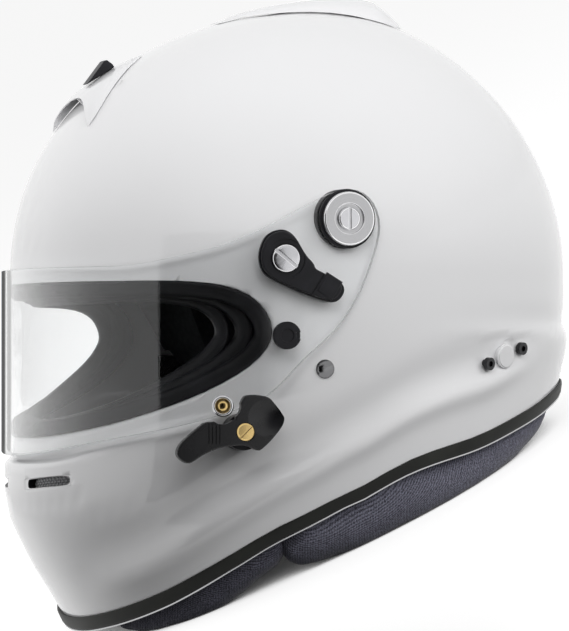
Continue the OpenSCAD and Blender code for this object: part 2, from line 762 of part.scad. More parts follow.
module tear_off_posts() {
    color("#1a1b1d") worn() both_sides() on_visor(-post_fore, -post_down) difference() {
        union() {
            rod(post_r, 0.15, post_h);
            rod(2, -visor_thk, 1);
        }
        translate([post_r - 2.4, -1.6, post_h - 2]) cube([5, 3.2, 5]);
        rod(3.4, post_h - 0.8, post_h + 5);
    }
}
module latch_collar() {
    color("#d2d3d5") worn() on_visor(-pin_fore, -pin_down) difference() {
        translate([0, 0, 0.15])
            rotate_extrude($fn = 60)
                polygon([
                    [latch_pin_r + 0.05, 0], [collar_r, 0], [collar_r, collar_h - 0.8],
                    [collar_r - 0.8, collar_h], [latch_pin_r + 1, collar_h],
                    [latch_pin_r + 0.05, collar_h - 1.6]
                ]);
    }
}
module latch_pin() {
    color("#b98a3c") worn() on_visor(-pin_fore, -pin_down) {
        rod(latch_pin_r, -visor_thk, collar_h - 1.8);
        translate([0, 0, collar_h - 1.8])
            rotate_extrude($fn = 40)
                polygon([[0, 0], [latch_pin_r, 0], [latch_pin_r * 0.8, 0.8], [latch_pin_r * 0.45, 1.2], [0, 1.3]]);
    }
}
module latch_base() {
    color("#16171a") worn() difference() {
        latch_place() rod(latch_base_r, -18, -0.15);
        skin_block(52, 76, -128, -92, -14, 0.3, 8, 12);
        latch_place() rod(latch_shank_r + 0.1, -30, 2);
    }
}
module latch_outline() {
    polygon([
        [-5.5, 8.5], [-1.5, 17.6], [1.6, 19.4], [7.5, 19.4], [12.6, 18.4], [15.6, 16],
        [21, 9.4], [22, 6.4], [20.4, 2.4], [15, -4], [9.4, -9], [6.6, -9.6], [0, -7.2],
        [-9, -7.6], [-17.5, -9.4], [-24.5, -12.6], [-31.4, -16.4], [-36, -15], [-38.6, -11.6],
        [-37, -6.6], [-31.5, -1.4], [-25.6, 3.2], [-21.6, 5.2], [-7.4, 6.2]
    ]);
}
module latch_lever() {
    color("#191a1d") worn() difference() {
        latch_place() {
            linear_extrude(height = latch_thk) latch_outline();
            translate([0, 0, -3.5])
                linear_extrude(height = 4)
                    polygon([
                        [-13, -8.2], [-17.5, -9.4], [-24.5, -12.6], [-31.4, -16.4], [-36, -15],
                        [-38.6, -11.6], [-37, -6.6], [-31.5, -1.6], [-24, 2], [-13, 3]
                    ]);
        }
        on_visor(-pin_fore, -pin_down) rod(collar_r + 0.5, -2, 16);
        latch_place() {
            // way of the collar while the lever turns off it
            for (turn = [0 : 3.5 : latch_travel])
                rotate([0, 0, turn])
                    translate([latch_fore - pin_fore, latch_down - pin_down, -8]) rod(collar_r + 1.3, 0, 30);
            rod(latch_shank_r + 0.05, -10, 12);
            rod(latch_screw_r + 0.4, latch_thk - 1.6, 12);
            // cupped face of the paddle
            translate([12, 7, latch_thk + 20.4]) sphere(r = 22.5, $fn = 60);
            // grooves between the ribs of the finger
            for (i = [0 : 3]) translate([-21.5 + 1.9 * i, -6, latch_thk - 0.7]) cube([0.9, 10.6, 3]);
        }
    }
}
module latch_screw() {
    seat = latch_thk - 1.55;
    color("#c8a04e") worn() latch_place() difference() {
        union() {
            rod(latch_shank_r, -21, seat + 0.5);
            translate([0, 0, seat])
                rotate_extrude($fn = 48)
                    polygon([[0, 0], [latch_screw_r, 0], [latch_screw_r, 1.6], [latch_screw_r - 0.8, 2.3], [0, 2.4]]);
        }
        slot(1.2, seat + 1.2, 45);
    }
}

module latch_nut() {
    color("#8f9193") worn() difference() {
        latch_place() rod(6, -21, -11);
        skin_block(56, 72, -122, -98, -shell_wall - 0.4, 6, 6, 8);
        latch_place() rod(latch_shank_r + 0.05, -30, 2);
    }
}

// Arched hood over the crown between two places in plan; u runs across, v along
function brow_y(u, v) =
    let (mouth = -102.5 - 7 * u * u)
    mouth + (-70.5 - mouth) * v;
module brow_form(side, low, lift, v0) {
    slab(
        [for (i = [0 : 10]) let (v = v0 + (1 - v0) * i / 10)
            [for (j = [-9 : 9]) let (u = j / 9)
                roof(u * (brow_half_w - side) * curve(brow_plan, max(0, v)), brow_y(u, v),
                    0.3 + max(0.5, lift * curve(brow_rise, max(0, v)) * pow(max(0, 1 - pow(abs(u), 3.2)), 0.5)))]],
        [for (i = [0 : 10]) let (v = v0 + (1 - v0) * i / 10)
            [for (j = [-9 : 9]) let (u = j / 9)
                roof(u * (brow_half_w - side) * curve(brow_plan, max(0, v)), brow_y(u, v), low)]]
    );
}
module brow_duct() {
    color("white") worn() difference() {
        brow_form(0, 0.3, brow_h, 0);
        difference() {
            translate([0, -1.5, 0]) brow_form(duct_wall, -3, brow_h - duct_wall, -0.06);
            translate([-1.5, slider_y - 28, roof_z(0, slider_y) - 24]) cube([3, 60, 60]);
        }
    }
}
module brow_slider() {
    color("#15161a") worn()
        translate([-slider_w / 2, slider_y, roof_z(0, slider_y) + 10.1])
            sideways()
                linear_extrude(height = slider_w)
                    polygon([[0, 0], [15.8, 9.8], [14.6, 11.4], [11.4, 13.6], [9.8, 12.8]]);
}
function top_across(u) = max(0, 1 - pow(abs(u), 5));
module top_duct() {
    rows = [-28, -23, -15, -4, 8, 20, 31, 40, 47, 53, 56, 60, 65, 70];
    color("white") worn()
        slab(
            [for (y = rows)
                [for (j = [-8 : 8]) let (u = j / 8)
                    roof(u * tail_half_w * curve(top_plan, y), y,
                        0.3 + max(0.4, tail_h * curve(top_rise, y) * top_across(u)))]],
            [for (y = rows)
                [for (j = [-8 : 8]) let (u = j / 8)
                    roof(u * tail_half_w * curve(top_plan, y), y, 0.3)]]
        );
}

module chin_vent_grilles() {
    color("#2b2c2e") worn() both_sides() intersection() {
        skin_block(3, 30, -146, -128, -shell_wall - 0.5 - grille_thk, -shell_wall - 0.5, 9, 3);
        front_cut(80) difference() {
            vent_shape(2.5);
            translate([vent_x, vent_z])
                rotate(vent_slope)
                    for (i = [-6 : 6], k = [-1 : 1])
                        translate([i * 3.1, k * 2.1]) square([2.4, 1.5], center = true);
        }
    }
}
module chin_vent_shutter() {
    face = -shell_wall - grille_thk - 1.3;
    color("#1a1b1c") worn() {
        skin_block(-33, 33, -154.5, -143.5, face - shutter_thk, face, 16, 3);
        translate([-5, -132.4, -152]) cube([10, 16, 4]);
    }
}

module strap_rivets() {
    color("#b4b6b8") worn() both_sides() on_skin(phi_of(rivet_y, rivet_z), rivet_z) {
        translate([0, 0, 0.15])
            rotate_extrude($fn = 56)
                polygon([
                    [0, 0], [rivet_r, 0], [rivet_r * 0.92, 0.9], [rivet_r * 0.72, 1.6],
                    [rivet_r * 0.4, 2.1], [0, 2.3]
                ]);
        rod(rivet_shank_r, -8, 0.5);
        rod(rivet_shank_r + 2, -9, -7.6);
    }
}
module anchor_place() {
    on_skin(anchor_phi, anchor_z) rotate(anchor_slope) children();
}
module anchor_screws() {
    color("#141517") worn() both_sides() anchor_place()
        for (side = [-1, 1])
            translate([side * anchor_pitch, 0, 0]) difference() {
                union() {
                    rod(anchor_head_r, -0.2, 2.3);
                    rod(anchor_shank_r, -9, 0.5);
                }
                translate([0, 0, 0.9]) cylinder(r = 1.7, h = 5, $fn = 6);
            }
}
module anchor_plugs() {
    color("#eceded") worn() both_sides() anchor_place() {
        rod(plug_r, 0.25, 1.6);
        rod(plug_r - 0.7, 0.25, 2.1);
        rod(plug_shank_r, -9.5, 1);
    }
}
module anchor_plates() {
    color("#7d7f82") worn() both_sides() anchor_place() difference() {
        union() {
            translate([-20, -8, -8.5]) cube([40, 16, 2.4]);
            rod(8, -11.5, -6.1);
        }
        rod(plug_shank_r + 0.05, -15, 0);
        for (side = [-1, 1]) translate([side * anchor_pitch, 0, 0]) rod(anchor_shank_r + 0.05, -15, 0);
    }
}

// Room for the head
head_c = [0, 14];
head_z = -27;
head_rise = 107;
function head_point(phi, z, off) =
    let (
        k = z > head_z ? sqrt(max(0, 1 - pow((z - head_z) / (head_rise + off), 2))) : 1,
        a = (head_half_w + off) * k,
        b = ((cos(phi) > 0 ? 98 : 100) + off) * k
    )
    [a * round_pow(sin(phi), 2.2), head_c[1] - b * round_pow(cos(phi), 2.2), z];
liner_face = -shell_wall - 1.4;
module impact_liner() {
    rows = 10;
    n = 36;
    low = [for (j = [0 : n - 1]) curve(liner_edge, fold(10 * j))];
    color("#2a2b2e") worn() difference() {
        cup(
            [for (k = [0 : rows])
                [for (j = [0 : n - 1])
                    let (s0 = z_level(low[j]), s = s0 + (85 - s0) * k / rows)
                    skin(10 * j, s, liner_face)]],
            [for (k = [0 : rows])
                [for (j = [0 : n - 1])
                    let (z = low[j] + 0.5 + (head_z + head_rise - 0.2 - low[j]) * sin(90 * k / rows))
                    head_point(10 * j, z, 0)]],
            skin(0, 90, liner_face), [0, head_c[1], head_z + head_rise]
        );
        both_sides() {
            sideways() rod(nut_flange_r + 2, shell_half_w - 18, shell_half_w + 3);
            on_skin(phi_of(rivet_y, rivet_z), rivet_z) {
                rod(rivet_shank_r + 3, -14, 0);
                translate([-strap_w / 2 - 2, -60, -10]) cube([strap_w + 4, 72, 12]);
            }
            anchor_place() {
                translate([-21.5, -9.5, -9.5]) cube([43, 19, 12]);
                rod(9.5, -13, 0);
            }
        }
    }
}
module chin_liner() {
    face = -shell_wall - 7.8;
    angles = [for (a = [-44 : 4 : 44]) a];
    levels = [for (z = [-160 : 9 : -124]) z_level(z)];
    color("#2a2b2e") worn() difference() {
        // the ends reach the shell, the middle leaves room for the shutter
        slab(
            [for (s = levels) [for (a = angles) skin(a, s, abs(a) > 36 ? -shell_wall - 0.7 : face)]],
            [for (s = levels) [for (a = angles) skin(a, s, face - chin_liner_thk)]]
        );
        translate([-7, -150, -153.5]) cube([14, 60, 19]);
    }
}
module crown_pad() {
    rows = 6;
    color("#33373d") worn()
        cup(
            [for (k = [0 : rows]) [for (a = [0 : 10 : 350])
                head_point(a, -15 + (head_z + head_rise - 2.4 + 15) * sin(88 * k / rows), -2)]],
            [for (k = [0 : rows]) [for (a = [0 : 10 : 350])
                head_point(a, -14 + (head_z + head_rise - 2.4 - crown_pad_thk + 14) * sin(88 * k / rows),
                    -2 - crown_pad_thk)]],
            [0, head_c[1], head_z + head_rise - 2.1], [0, head_c[1], head_z + head_rise - 1.8 - crown_pad_thk]
        );
}

// Rounded pad along the shell between two angles, with tapered ends
module pad(phi0, phi1, tops, drops, thick, rows, round_k) {
    m = 16;
    out = -shell_wall - trim_wall - 0.6;
    sweep([
        for (i = [0 : rows])
            let (
                v = i / rows,
                phi = phi0 + (phi1 - phi0) * v,
                p = fold(phi),
                e = pow(max(0.02, 1 - pow(abs(2 * v - 1), round_k)), 0.45),
                top = curve(tops, p),
                low = curve(edge_line, p) - trim_leg - trim_foot - curve(drops, p),
                zc = (top + low) / 2,
                h = (top - low) / 2 * (0.35 + 0.65 * e),
                t = thick / 2 * e
            )
            [for (j = [0 : m - 1])
                let (
                    q = 360 * j / m,
                    z = zc - h * round_pow(sin(q), 2.7),
                    off = out - thick / 2 + (thick / 2 - t) * 0.6 + t * round_pow(cos(q), 2.7)
                )
                skin(phi, z_level(z), off)]
    ], false);
}
module on_table() {
    difference() {
        worn() children();
        translate([-200, -200, -50]) cube([400, 400, 50]);
    }
}
module cheek_pad_left() {
    color("#2c333d") on_table() pad(12, 75.5, cheek_top, cheek_drop, cheek_thk, 26, 6);
}
module cheek_pad_right() {
    color("#2c333d") on_table() mirror([1, 0, 0]) pad(12, 75.5, cheek_top, cheek_drop, cheek_thk, 26, 6);
}
module neck_roll() {
    color("#2c333d") on_table() pad(77, 283, roll_top, roll_drop, roll_thk, 60, 14);
}

// Webbing in a plane square to the shell: [depth behind the shell, height from the rivet]
strap_run = [
    [-5.2, 9], [-5.2, -30], [-9.5, -36.5], [-22, -38.5], [-36, -38], [-43, -43], [-45, -52], [-45, -74]
];
function band_side(p, i, d) =
    let (
        a = unit(p[i] - p[max(i - 1, 0)] + p[min(i + 1, len(p) - 1)] - p[i]),
        n = [-a[1], a[0]]
    )
    p[i] + d * n;
module strap() {
    n = len(strap_run) - 1;
    on_skin(phi_of(rivet_y, rivet_z), rivet_z) difference() {
        translate([-strap_w / 2, 0, 0])
            rotate([0, 90, 0])
                linear_extrude(height = strap_w)
                    polygon([
                        for (i = [0 : n]) let (q = band_side(strap_run, i, 0)) [-q[0], q[1]],
                        for (i = [n : -1 : 0]) let (q = band_side(strap_run, i, -strap_thk)) [-q[0], q[1]]
                    ]);
        rod(rivet_shank_r + 0.1, -20, 5);
    }
}
// Middle of the loop at the lower end of a strap, seen in the strap's plane
loop_low = -79;
loop_deep = -45.8;
loop_in = 2 * ring_wire_r + 0.6;
module strap_loop() {
    on_skin(phi_of(rivet_y, rivet_z), rivet_z)
        translate([-strap_w / 2, loop_low, loop_deep])
            rotate([0, 90, 0]) ring(loop_in + strap_thk, loop_in, 0, strap_w);
}
module chin_strap_left() {
    color("#15171a") worn() {
        strap();
        strap_loop();
    }
}
module chin_strap_right() {
    color("#15171a") worn() mirror([1, 0, 0]) strap();
}
module d_ring() {
    r = strap_w / 2 + ring_wire_r + 0.4;
    translate([-r, 0, 0]) rotate([0, 90, 0]) rod(ring_wire_r, 0, 2 * r);
    for (side = [-1, 1]) {
        translate([side * r, -4, 0]) rotate([-90, 0, 0]) rod(ring_wire_r, 0, 4);
        translate([side * r, 0, 0]) sphere(r = ring_wire_r, $fn = 32);
    }
    translate([0, -4, 0]) difference() {
        rotate_extrude($fn = 48) translate([r, 0]) circle(r = ring_wire_r, $fn = 16);
        translate([-30, 0, -10]) cube([60, 30, 20]);
    }
}
module d_rings() {
    color("#b4b6b8") worn() on_skin(phi_of(rivet_y, rivet_z), rivet_z)
        for (side = [-1, 1])
            translate([0, loop_low, loop_deep + side * (ring_wire_r + 0.15)]) d_ring();
}

outer_shell();
shell_trim();
eyeport_gasket();
visor();
visor_pivot_bosses();
visor_pivot_rings();
visor_pivot_discs();
visor_pivot_screws();
visor_pivot_nuts();
demist_lever_left();
demist_lever_right();
lever_screws();
tear_off_posts();
latch_collar();
latch_pin();
latch_base();
latch_lever();
latch_screw();
latch_nut();
brow_duct();
brow_slider();
top_duct();
chin_vent_grilles();
chin_vent_shutter();
strap_rivets();
anchor_screws();
anchor_plugs();
anchor_plates();
impact_liner();
chin_liner();
crown_pad();
cheek_pad_left();
cheek_pad_right();
neck_roll();
chin_strap_left();
chin_strap_right();
d_rings();
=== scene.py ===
# %% [markdown]
# # A full-face racing helmet
# The helmet is a white gelcoated shell with a small eyeport, a hinged clear visor, black
# fittings, a rubber edge trim and knit-covered pads, and it stands on those pads.
# The rigid pieces arrive already modelled and placed. This notebook gives every one of them
# a finish, makes the shell smooth enough for a gloss paint, gives the levers and the latch
# their flowing outlines, and models what is soft or woven: the pads, the crown lining, the
# webbing and the wire mesh behind the chin vents.

import json
from math import asin, atan2, cos, degrees, exp, pi, radians, sin, sqrt, tan

import bmesh
import bpy
from mathutils import Matrix, Vector


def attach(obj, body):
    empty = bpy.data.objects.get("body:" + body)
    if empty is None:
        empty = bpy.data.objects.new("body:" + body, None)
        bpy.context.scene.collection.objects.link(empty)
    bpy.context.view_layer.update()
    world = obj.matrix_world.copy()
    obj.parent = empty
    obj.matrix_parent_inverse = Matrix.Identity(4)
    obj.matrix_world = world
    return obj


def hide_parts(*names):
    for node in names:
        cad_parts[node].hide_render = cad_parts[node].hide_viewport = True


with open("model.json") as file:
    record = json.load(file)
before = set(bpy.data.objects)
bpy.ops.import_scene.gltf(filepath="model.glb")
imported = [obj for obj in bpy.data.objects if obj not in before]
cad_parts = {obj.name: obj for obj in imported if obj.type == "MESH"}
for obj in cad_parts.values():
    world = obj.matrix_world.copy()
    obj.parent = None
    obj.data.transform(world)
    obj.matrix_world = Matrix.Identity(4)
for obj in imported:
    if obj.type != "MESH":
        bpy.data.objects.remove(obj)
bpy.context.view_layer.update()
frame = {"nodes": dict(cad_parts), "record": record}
nodes = frame["nodes"]
record = frame["record"]
scene = bpy.context.scene
body_of = {node: body for body, members in record["behaviour"]["bodies"].items() for node in members}

# %% [markdown]
# ## The worn frame
# Everybody who draws a helmet measures it as it is worn: the visor's axis is the origin, X runs
# to the wearer's left, Y to the rear and Z up. On the table the helmet leans back on its pads,
# so each measured place is turned by the lean and lifted to the height of the axis. Keeping one
# matrix for this means that the rest of the notebook can speak in worn millimetres.

# %% Turn worn millimetres into the scene's metres
MM = 0.001
STAND_TILT = radians(25)
AXIS_HEIGHT = 161.2 * MM
AXIS_BACK = 19.2 * MM
worn = Matrix.Translation((0, AXIS_BACK, AXIS_HEIGHT)) @ Matrix.Rotation(-STAND_TILT, 4, "X")
unworn = worn.inverted()


def at(x, y, z):
    """A place in worn millimetres as a point of the scene."""
    return worn @ Vector((x * MM, y * MM, z * MM))


def worn_mm(point):
    """A point of the scene as a place in worn millimetres."""
    return (unworn @ point) / MM


print("visor axis at", [round(c, 4) for c in at(0, 0, 0)])

# %% [markdown]
# ## The camera
# The photograph looks at the wearer's left side, a little from the front, and its upright is the
# worn helmet's upright. The outline of the trim and the spacing of the pivot, rivet and anchor
# fix the angle, and the nearly parallel edges ask for a long lens from three metres away.

# %% Place the camera
CAMERA_TURN = radians(70)
CAMERA_DIP = radians(-1)
CAMERA_RANGE = 3.0
FIELD_WIDTH = 0.30726
PIVOT_RIGHT = 0.0109
PIVOT_UP = -0.0481

right = Vector((cos(CAMERA_TURN), sin(CAMERA_TURN), 0))
back = Vector((sin(CAMERA_TURN) * cos(CAMERA_DIP), -cos(CAMERA_TURN) * cos(CAMERA_DIP), sin(CAMERA_DIP)))
up = back.cross(right)
stand = right * PIVOT_RIGHT + up * PIVOT_UP + back * CAMERA_RANGE
axes = Matrix((right, up, back)).transposed().to_4x4()

lens = bpy.data.cameras.new("camera")
lens.sensor_fit = "HORIZONTAL"
lens.sensor_width = 36
lens.lens = lens.sensor_width * CAMERA_RANGE / FIELD_WIDTH
lens.clip_end = 50
camera = bpy.data.objects.new("camera", lens)
camera.matrix_world = worn @ Matrix.Translation(stand) @ axes
scene.collection.objects.link(camera)
scene.camera = camera
print("lens", round(lens.lens, 1), "mm at", [round(c, 2) for c in camera.location])

# %% [markdown]
# ## Shader maths as sentences
# A procedural finish is a small sum: a noise here, a mask there. Building it node by node hides
# the sum, so a thin class wraps one socket and lets + - * and ** add the Math nodes. Everything
# that isn't plain arithmetic comes from one method, `node`, which sets a node's own settings
# first and then fills or links its inputs.


# %% A socket that can be added and multiplied
class Level:
    """One output socket of a finish, usable in sums."""

    def __init__(self, finish, socket):
        self.finish = finish
        self.socket = socket

    def math(self, operation, *values):
        """A Math node of some values."""
        return self.finish.node("Math", {"operation": operation}, dict(enumerate(values)))

    def __add__(self, other):
        return self.math("ADD", self, other)

    def __sub__(self, other):
        return self.math("SUBTRACT", self, other)

    def __rsub__(self, other):
        return self.math("SUBTRACT", other, self)

    def __mul__(self, other):
        return self.math("MULTIPLY", self, other)

    def __pow__(self, other):
        return self.math("POWER", self, other)

    __radd__ = __add__
    __rmul__ = __mul__

    def ramp(self, low, high):
        """0 below low, 1 above high, smooth between."""
        return self.finish.node("MapRange", {"interpolation_type": "SMOOTHSTEP"}, {0: self, 1: low, 2: high})


class Graph:
    """A node tree that makes every node in the same way."""

    def __init__(self, owner):
        owner.use_nodes = True
        self.tree = owner.node_tree

    def node(self, kind, settings=None, inputs=None, output=0):
        """Add a shader node: first its own settings, then its inputs, and return one output."""
        made = self.tree.nodes.new("ShaderNode" + kind)
        for key, value in (settings or {}).items():
            setattr(made, key, value)
        for key, value in (inputs or {}).items():
            if isinstance(value, Level):
                self.tree.links.new(value.socket, made.inputs[key])
            else:
                made.inputs[key].default_value = value
        return Level(self, made.outputs[output])

    def seen(self):
        """1 where the camera, a mirror or the visor looks, 0 for the light that falls on a surface."""
        straight, mirrored, through_glass = [
            self.node("LightPath", {}, {}, f"Is {way} Ray") for way in ("Camera", "Glossy", "Transmission")
        ]
        any_of = {"operation": "ADD", "use_clamp": True}
        return self.node("Math", any_of, {0: straight + mirrored, 1: through_glass})

    def close(self, surface):
        """Make a shader the one that the material or the world shows."""
        end = next(n for n in self.tree.nodes if n.type in ("OUTPUT_MATERIAL", "OUTPUT_WORLD"))
        self.tree.links.new(surface.socket, end.inputs["Surface"])


class Finish(Graph):
    """A material with one Principled surface, whose varying sockets are fed by sums."""

    def __init__(self, name, color, **surface):
        self.material = bpy.data.materials.new(name)
        super().__init__(self.material)
        self.skin = self.tree.nodes["Principled BSDF"]
        self.skin.inputs["Base Color"].default_value = (*color, 1)
        for socket, value in surface.items():
            self.skin.inputs[socket.replace("_", " ")].default_value = value
        self.place = self.node("TexCoord", {}, {}, "Object")

    def noise(self, per_metre, detail=2.0):
        """A noise that is as fine as its scale per metre."""
        return self.node("TexNoise", {}, {"Vector": self.place, "Scale": per_metre, "Detail": detail})

    def shade(self, factor, dark, light):
        """A colour between two, by a factor."""
        return self.node("Mix", {"data_type": "RGBA"}, {0: factor, 6: (*dark, 1), 7: (*light, 1)}, 2)

    def feed(self, socket, level):
        """Let a sum set one of the surface's sockets."""
        self.tree.links.new(level.socket, self.skin.inputs[socket])
        return self

    def relief(self, height, depth_mm, strength=1.0):
        """Bump the surface by a height from 0 to 1 that stands for a depth in millimetres."""
        bump = self.node("Bump", {}, {"Height": height, "Distance": depth_mm * MM, "Strength": strength})
        return self.feed("Normal", bump)


def tinted(color, factor):
    """A darker or lighter colour of the same hue."""
    return tuple(min(1.0, c * factor) for c in color)


# %% [markdown]
# ## Gloss white gelcoat
# A racing shell is white gelcoat under a clear lacquer. Two things keep it from looking like
# plain plastic: the very faint waviness of sprayed lacquer, called orange peel, and a slightly
# softer gloss where hands and cloths have been. Both are far too fine to model, so they are a
# tiny bump and a small change of roughness under a clear coat.


# %% Mix the gelcoat
def gelcoat(name, color=(0.86, 0.86, 0.87)):
    """White paint: orange peel as a bump, and a gloss that varies a little."""
    paint = Finish(name, color, Roughness=0.32, Coat_Weight=0.9, Coat_Roughness=0.04, Coat_IOR=1.5)
    peel = paint.noise(260, 1.0)
    cloud = paint.noise(9, 3.0)
    paint.feed("Base Color", paint.shade(cloud.ramp(0.3, 0.7), tinted(color, 0.985), color))
    paint.feed("Roughness", 0.28 + 0.1 * cloud)
    return paint.relief(peel, 0.02, 0.12)


def mixed(*finishes):
    """Say which finishes a cell has made."""
    print("mixed", [finish.material.name for finish in finishes])


white_gelcoat = gelcoat("white gelcoat")
mixed(white_gelcoat)

# %% [markdown]
# ## Rubber, moulded plastic and foam
# The black pieces differ more in their sheen than in their colour. Extruded rubber is dull with
# a fine grain and grey bloom, injection moulded plastic has a leathery spark texture, and
# expanded foam shows its fused beads. Each gets one pattern at its real size.


# %% Mix the dull finishes
def rubber(name, color=(0.008, 0.008, 0.009)):
    """Dull black with a fine grain and a grey bloom."""
    skin = Finish(name, color, Roughness=0.5, Specular_IOR_Level=0.2)
    grain = skin.noise(2600, 2.0)
    bloom = skin.noise(45, 4.0)
    skin.feed("Base Color", skin.shade(bloom.ramp(0.35, 0.75), color, tinted(color, 2.1)))
    skin.feed("Roughness", 0.4 + 0.25 * bloom)
    return skin.relief(grain, 0.05, 0.35)


def moulding(name, color=(0.009, 0.009, 0.011), gloss=0.34, shine=0.22):
    """Black plastic with a spark texture, rubbed here and there."""
    skin = Finish(name, color, Roughness=gloss, Specular_IOR_Level=shine)
    spark = skin.node("TexVoronoi", {}, {"Vector": skin.place, "Scale": 2400.0})
    rubbed = skin.noise(70, 4.0)
    skin.feed("Base Color", skin.shade(rubbed.ramp(0.45, 0.8), color, tinted(color, 1.9)))
    skin.feed("Roughness", gloss - 0.06 + 0.18 * rubbed)
    return skin.relief(spark, 0.03, 0.3)


def bead_foam(name, color=(0.02, 0.021, 0.023)):
    """Expanded foam whose fused beads show."""
    skin = Finish(name, color, Roughness=0.75, Specular_IOR_Level=0.3)
    beads = skin.node("TexVoronoi", {"feature": "F1"}, {"Vector": skin.place, "Scale": 330.0})
    skin.feed("Base Color", skin.shade(beads, tinted(color, 1.5), tinted(color, 0.5)))
    return skin.relief(1 - beads, 0.3, 0.6)


black_rubber = rubber("black rubber")
trim_rubber = rubber("edge trim rubber", (0.012, 0.0125, 0.011))
black_moulding = moulding("black moulding")
latch_plastic = moulding("glossy latch plastic", (0.007, 0.007, 0.008), 0.24, 0.36)
grey_foam = bead_foam("expanded foam")
mixed(black_rubber, trim_rubber, black_moulding, latch_plastic, grey_foam)

# %% [markdown]
# ## Metals
# Small turned parts show how they were made. The clamp discs of the visor are faced on a lathe,
# so their grain runs in rings about the pivot and softens what they mirror.
# Rings need the distance from the pivot's axis, which a Vector Math node measures in the plane
# of the helmet's side. Screws and rivets are polished, and only a trace of handling dulls them.


# %% Mix the metals
def lathe_faced(name, color, centre):
    """Metal whose grain runs in rings about a centre."""
    metal = Finish(name, color, Metallic=1.0, Roughness=0.26)
    flat = metal.node("Mapping", {}, {0: metal.place, 1: -Vector(centre), 3: (0, 1, 1)})
    reach = metal.node("VectorMath", {"operation": "LENGTH"}, {0: flat}, 1)
    rings = metal.node("TexNoise", {"noise_dimensions": "1D"}, {"W": reach * 3200, "Detail": 3.0})
    metal.feed("Roughness", 0.2 + 0.2 * rings)
    metal.feed("Base Color", metal.shade(rings, tinted(color, 0.86), color))
    return metal.relief(rings, 0.02, 0.5)


def polished(name, color, gloss):
    """Bright metal that handling has dulled a little."""
    metal = Finish(name, color, Metallic=1.0, Roughness=gloss)
    handled = metal.noise(350, 4.0)
    fine = metal.noise(4200, 1.0)
    metal.feed("Roughness", gloss - 0.04 + 0.14 * handled)
    metal.feed("Base Color", metal.shade(handled, tinted(color, 0.9), color))
    return metal.relief(fine, 0.01, 0.05)


pivot = at(0, 0, 0)
brushed_disc = lathe_faced("faced aluminium", (0.47, 0.47, 0.48), (0, pivot.y, pivot.z))
bright_screw = polished("polished screw", (0.58, 0.58, 0.6), 0.2)
brass_screw = polished("bright brass", (0.72, 0.52, 0.22), 0.2)
steel_parts = polished("stainless steel", (0.5, 0.5, 0.51), 0.22)
rivet_steel = polished("domed rivet steel", (0.2, 0.2, 0.205), 0.16)
black_steel = polished("black oxide steel", (0.05, 0.05, 0.052), 0.3)
# A brighter metal for the rounds of turned parts: a painted highlight along their edges.
painted_highlight_edge = polished("edge with painted highlight", (0.93, 0.93, 0.94), 0.12)
wire_steel = polished("woven wire", (0.5, 0.5, 0.51), 0.3)
mixed(brushed_disc, bright_screw, brass_screw, steel_parts, rivet_steel, black_steel, painted_highlight_edge, wire_steel)

# %% [markdown]
# ## The clear shield
# Real visors are 3 mm polycarbonate. A refracting glass shader would bend the eyeport behind it
# and throw dark shadows that the real thin sheet doesn't. A thin sheet is better told as mostly
# see-through, with a mirror that grows towards grazing angles. Layer Weight's facing value gives
# that growth on both faces alike, where a Fresnel node would turn the inner face into a mirror.
# Where the eye looks along the sheet, a dark diffuse layer is mixed in by the facing value: painted shade
# along the sheet's outline.


# %% Mix the shield
def clear_shield(name):
    """A thin clear sheet, more of a mirror, with painted shade where one looks along it."""
    sheet = Finish(name, (0.86, 0.88, 0.9), Roughness=0.02, Metallic=0.0, IOR=1.58)
    clear = sheet.node("BsdfTransparent", {}, {0: (0.993, 0.996, 0.997, 1)})
    gloss = sheet.node("BsdfGlossy", {}, {0: (1, 1, 1, 1), 1: 0.02})
    facing = sheet.node("LayerWeight", {}, {0: 0.5}, "Facing")
    mirror = 0.032 + 0.95 * facing ** 2.6
    skin = sheet.node("MixShader", {}, {0: mirror, 1: clear, 2: gloss})
    # A dark layer where the eye looks along the sheet: painted shade along its outline.
    along = sheet.node("BsdfDiffuse", {}, {0: (0.02, 0.021, 0.022, 1)})
    sheet.close(sheet.node("MixShader", {}, {0: facing.ramp(0.8, 0.86) * 0.85, 1: skin, 2: along}))
    return sheet


shield = clear_shield("clear shield")
mixed(shield)

# %% [markdown]
# ## Knit and webbing
# The pads wear a fine dark blue-grey knit: light and dark yarns cross at less than a millimetre,
# and brushed fibres give the cloth a soft sheen at its edges. The pattern follows object
# coordinates, so it needs no unwrapping and survives the remeshing of a swollen pad. The strap
# is coarser and is woven along its own length, so it reads its own UV map.


# %% Mix the cloths
def knit(name, color=(0.085, 0.085, 0.108)):
    """Two crossed bands of yarn with light and dark flecks."""
    cloth = Finish(name, color, Roughness=0.9, Sheen_Weight=0.35, Sheen_Roughness=0.4, Specular_IOR_Level=0.2)
    turned = cloth.node("Mapping", {}, {0: cloth.place, 2: (0.5, 0.35, 0.3)})
    across, along = [
        cloth.node(
            "TexWave", {"bands_direction": way},
            {"Vector": turned, "Scale": scale, "Distortion": bent, "Detail": 2.0, "Detail Scale": 3.0},
        )
        for way, scale, bent in (("X", 430.0, 2.2), ("Y", 370.0, 2.0))
    ]
    fleck = cloth.noise(1500, 2.0)
    yarn = across * 0.5 + along * 0.5
    light = (yarn * 0.35 + fleck * 0.65).ramp(0.32, 0.7)
    cloth.feed("Base Color", cloth.shade(light, tinted(color, 0.45), tinted(color, 3.4)))
    return cloth.relief(yarn, 0.25, 0.7)


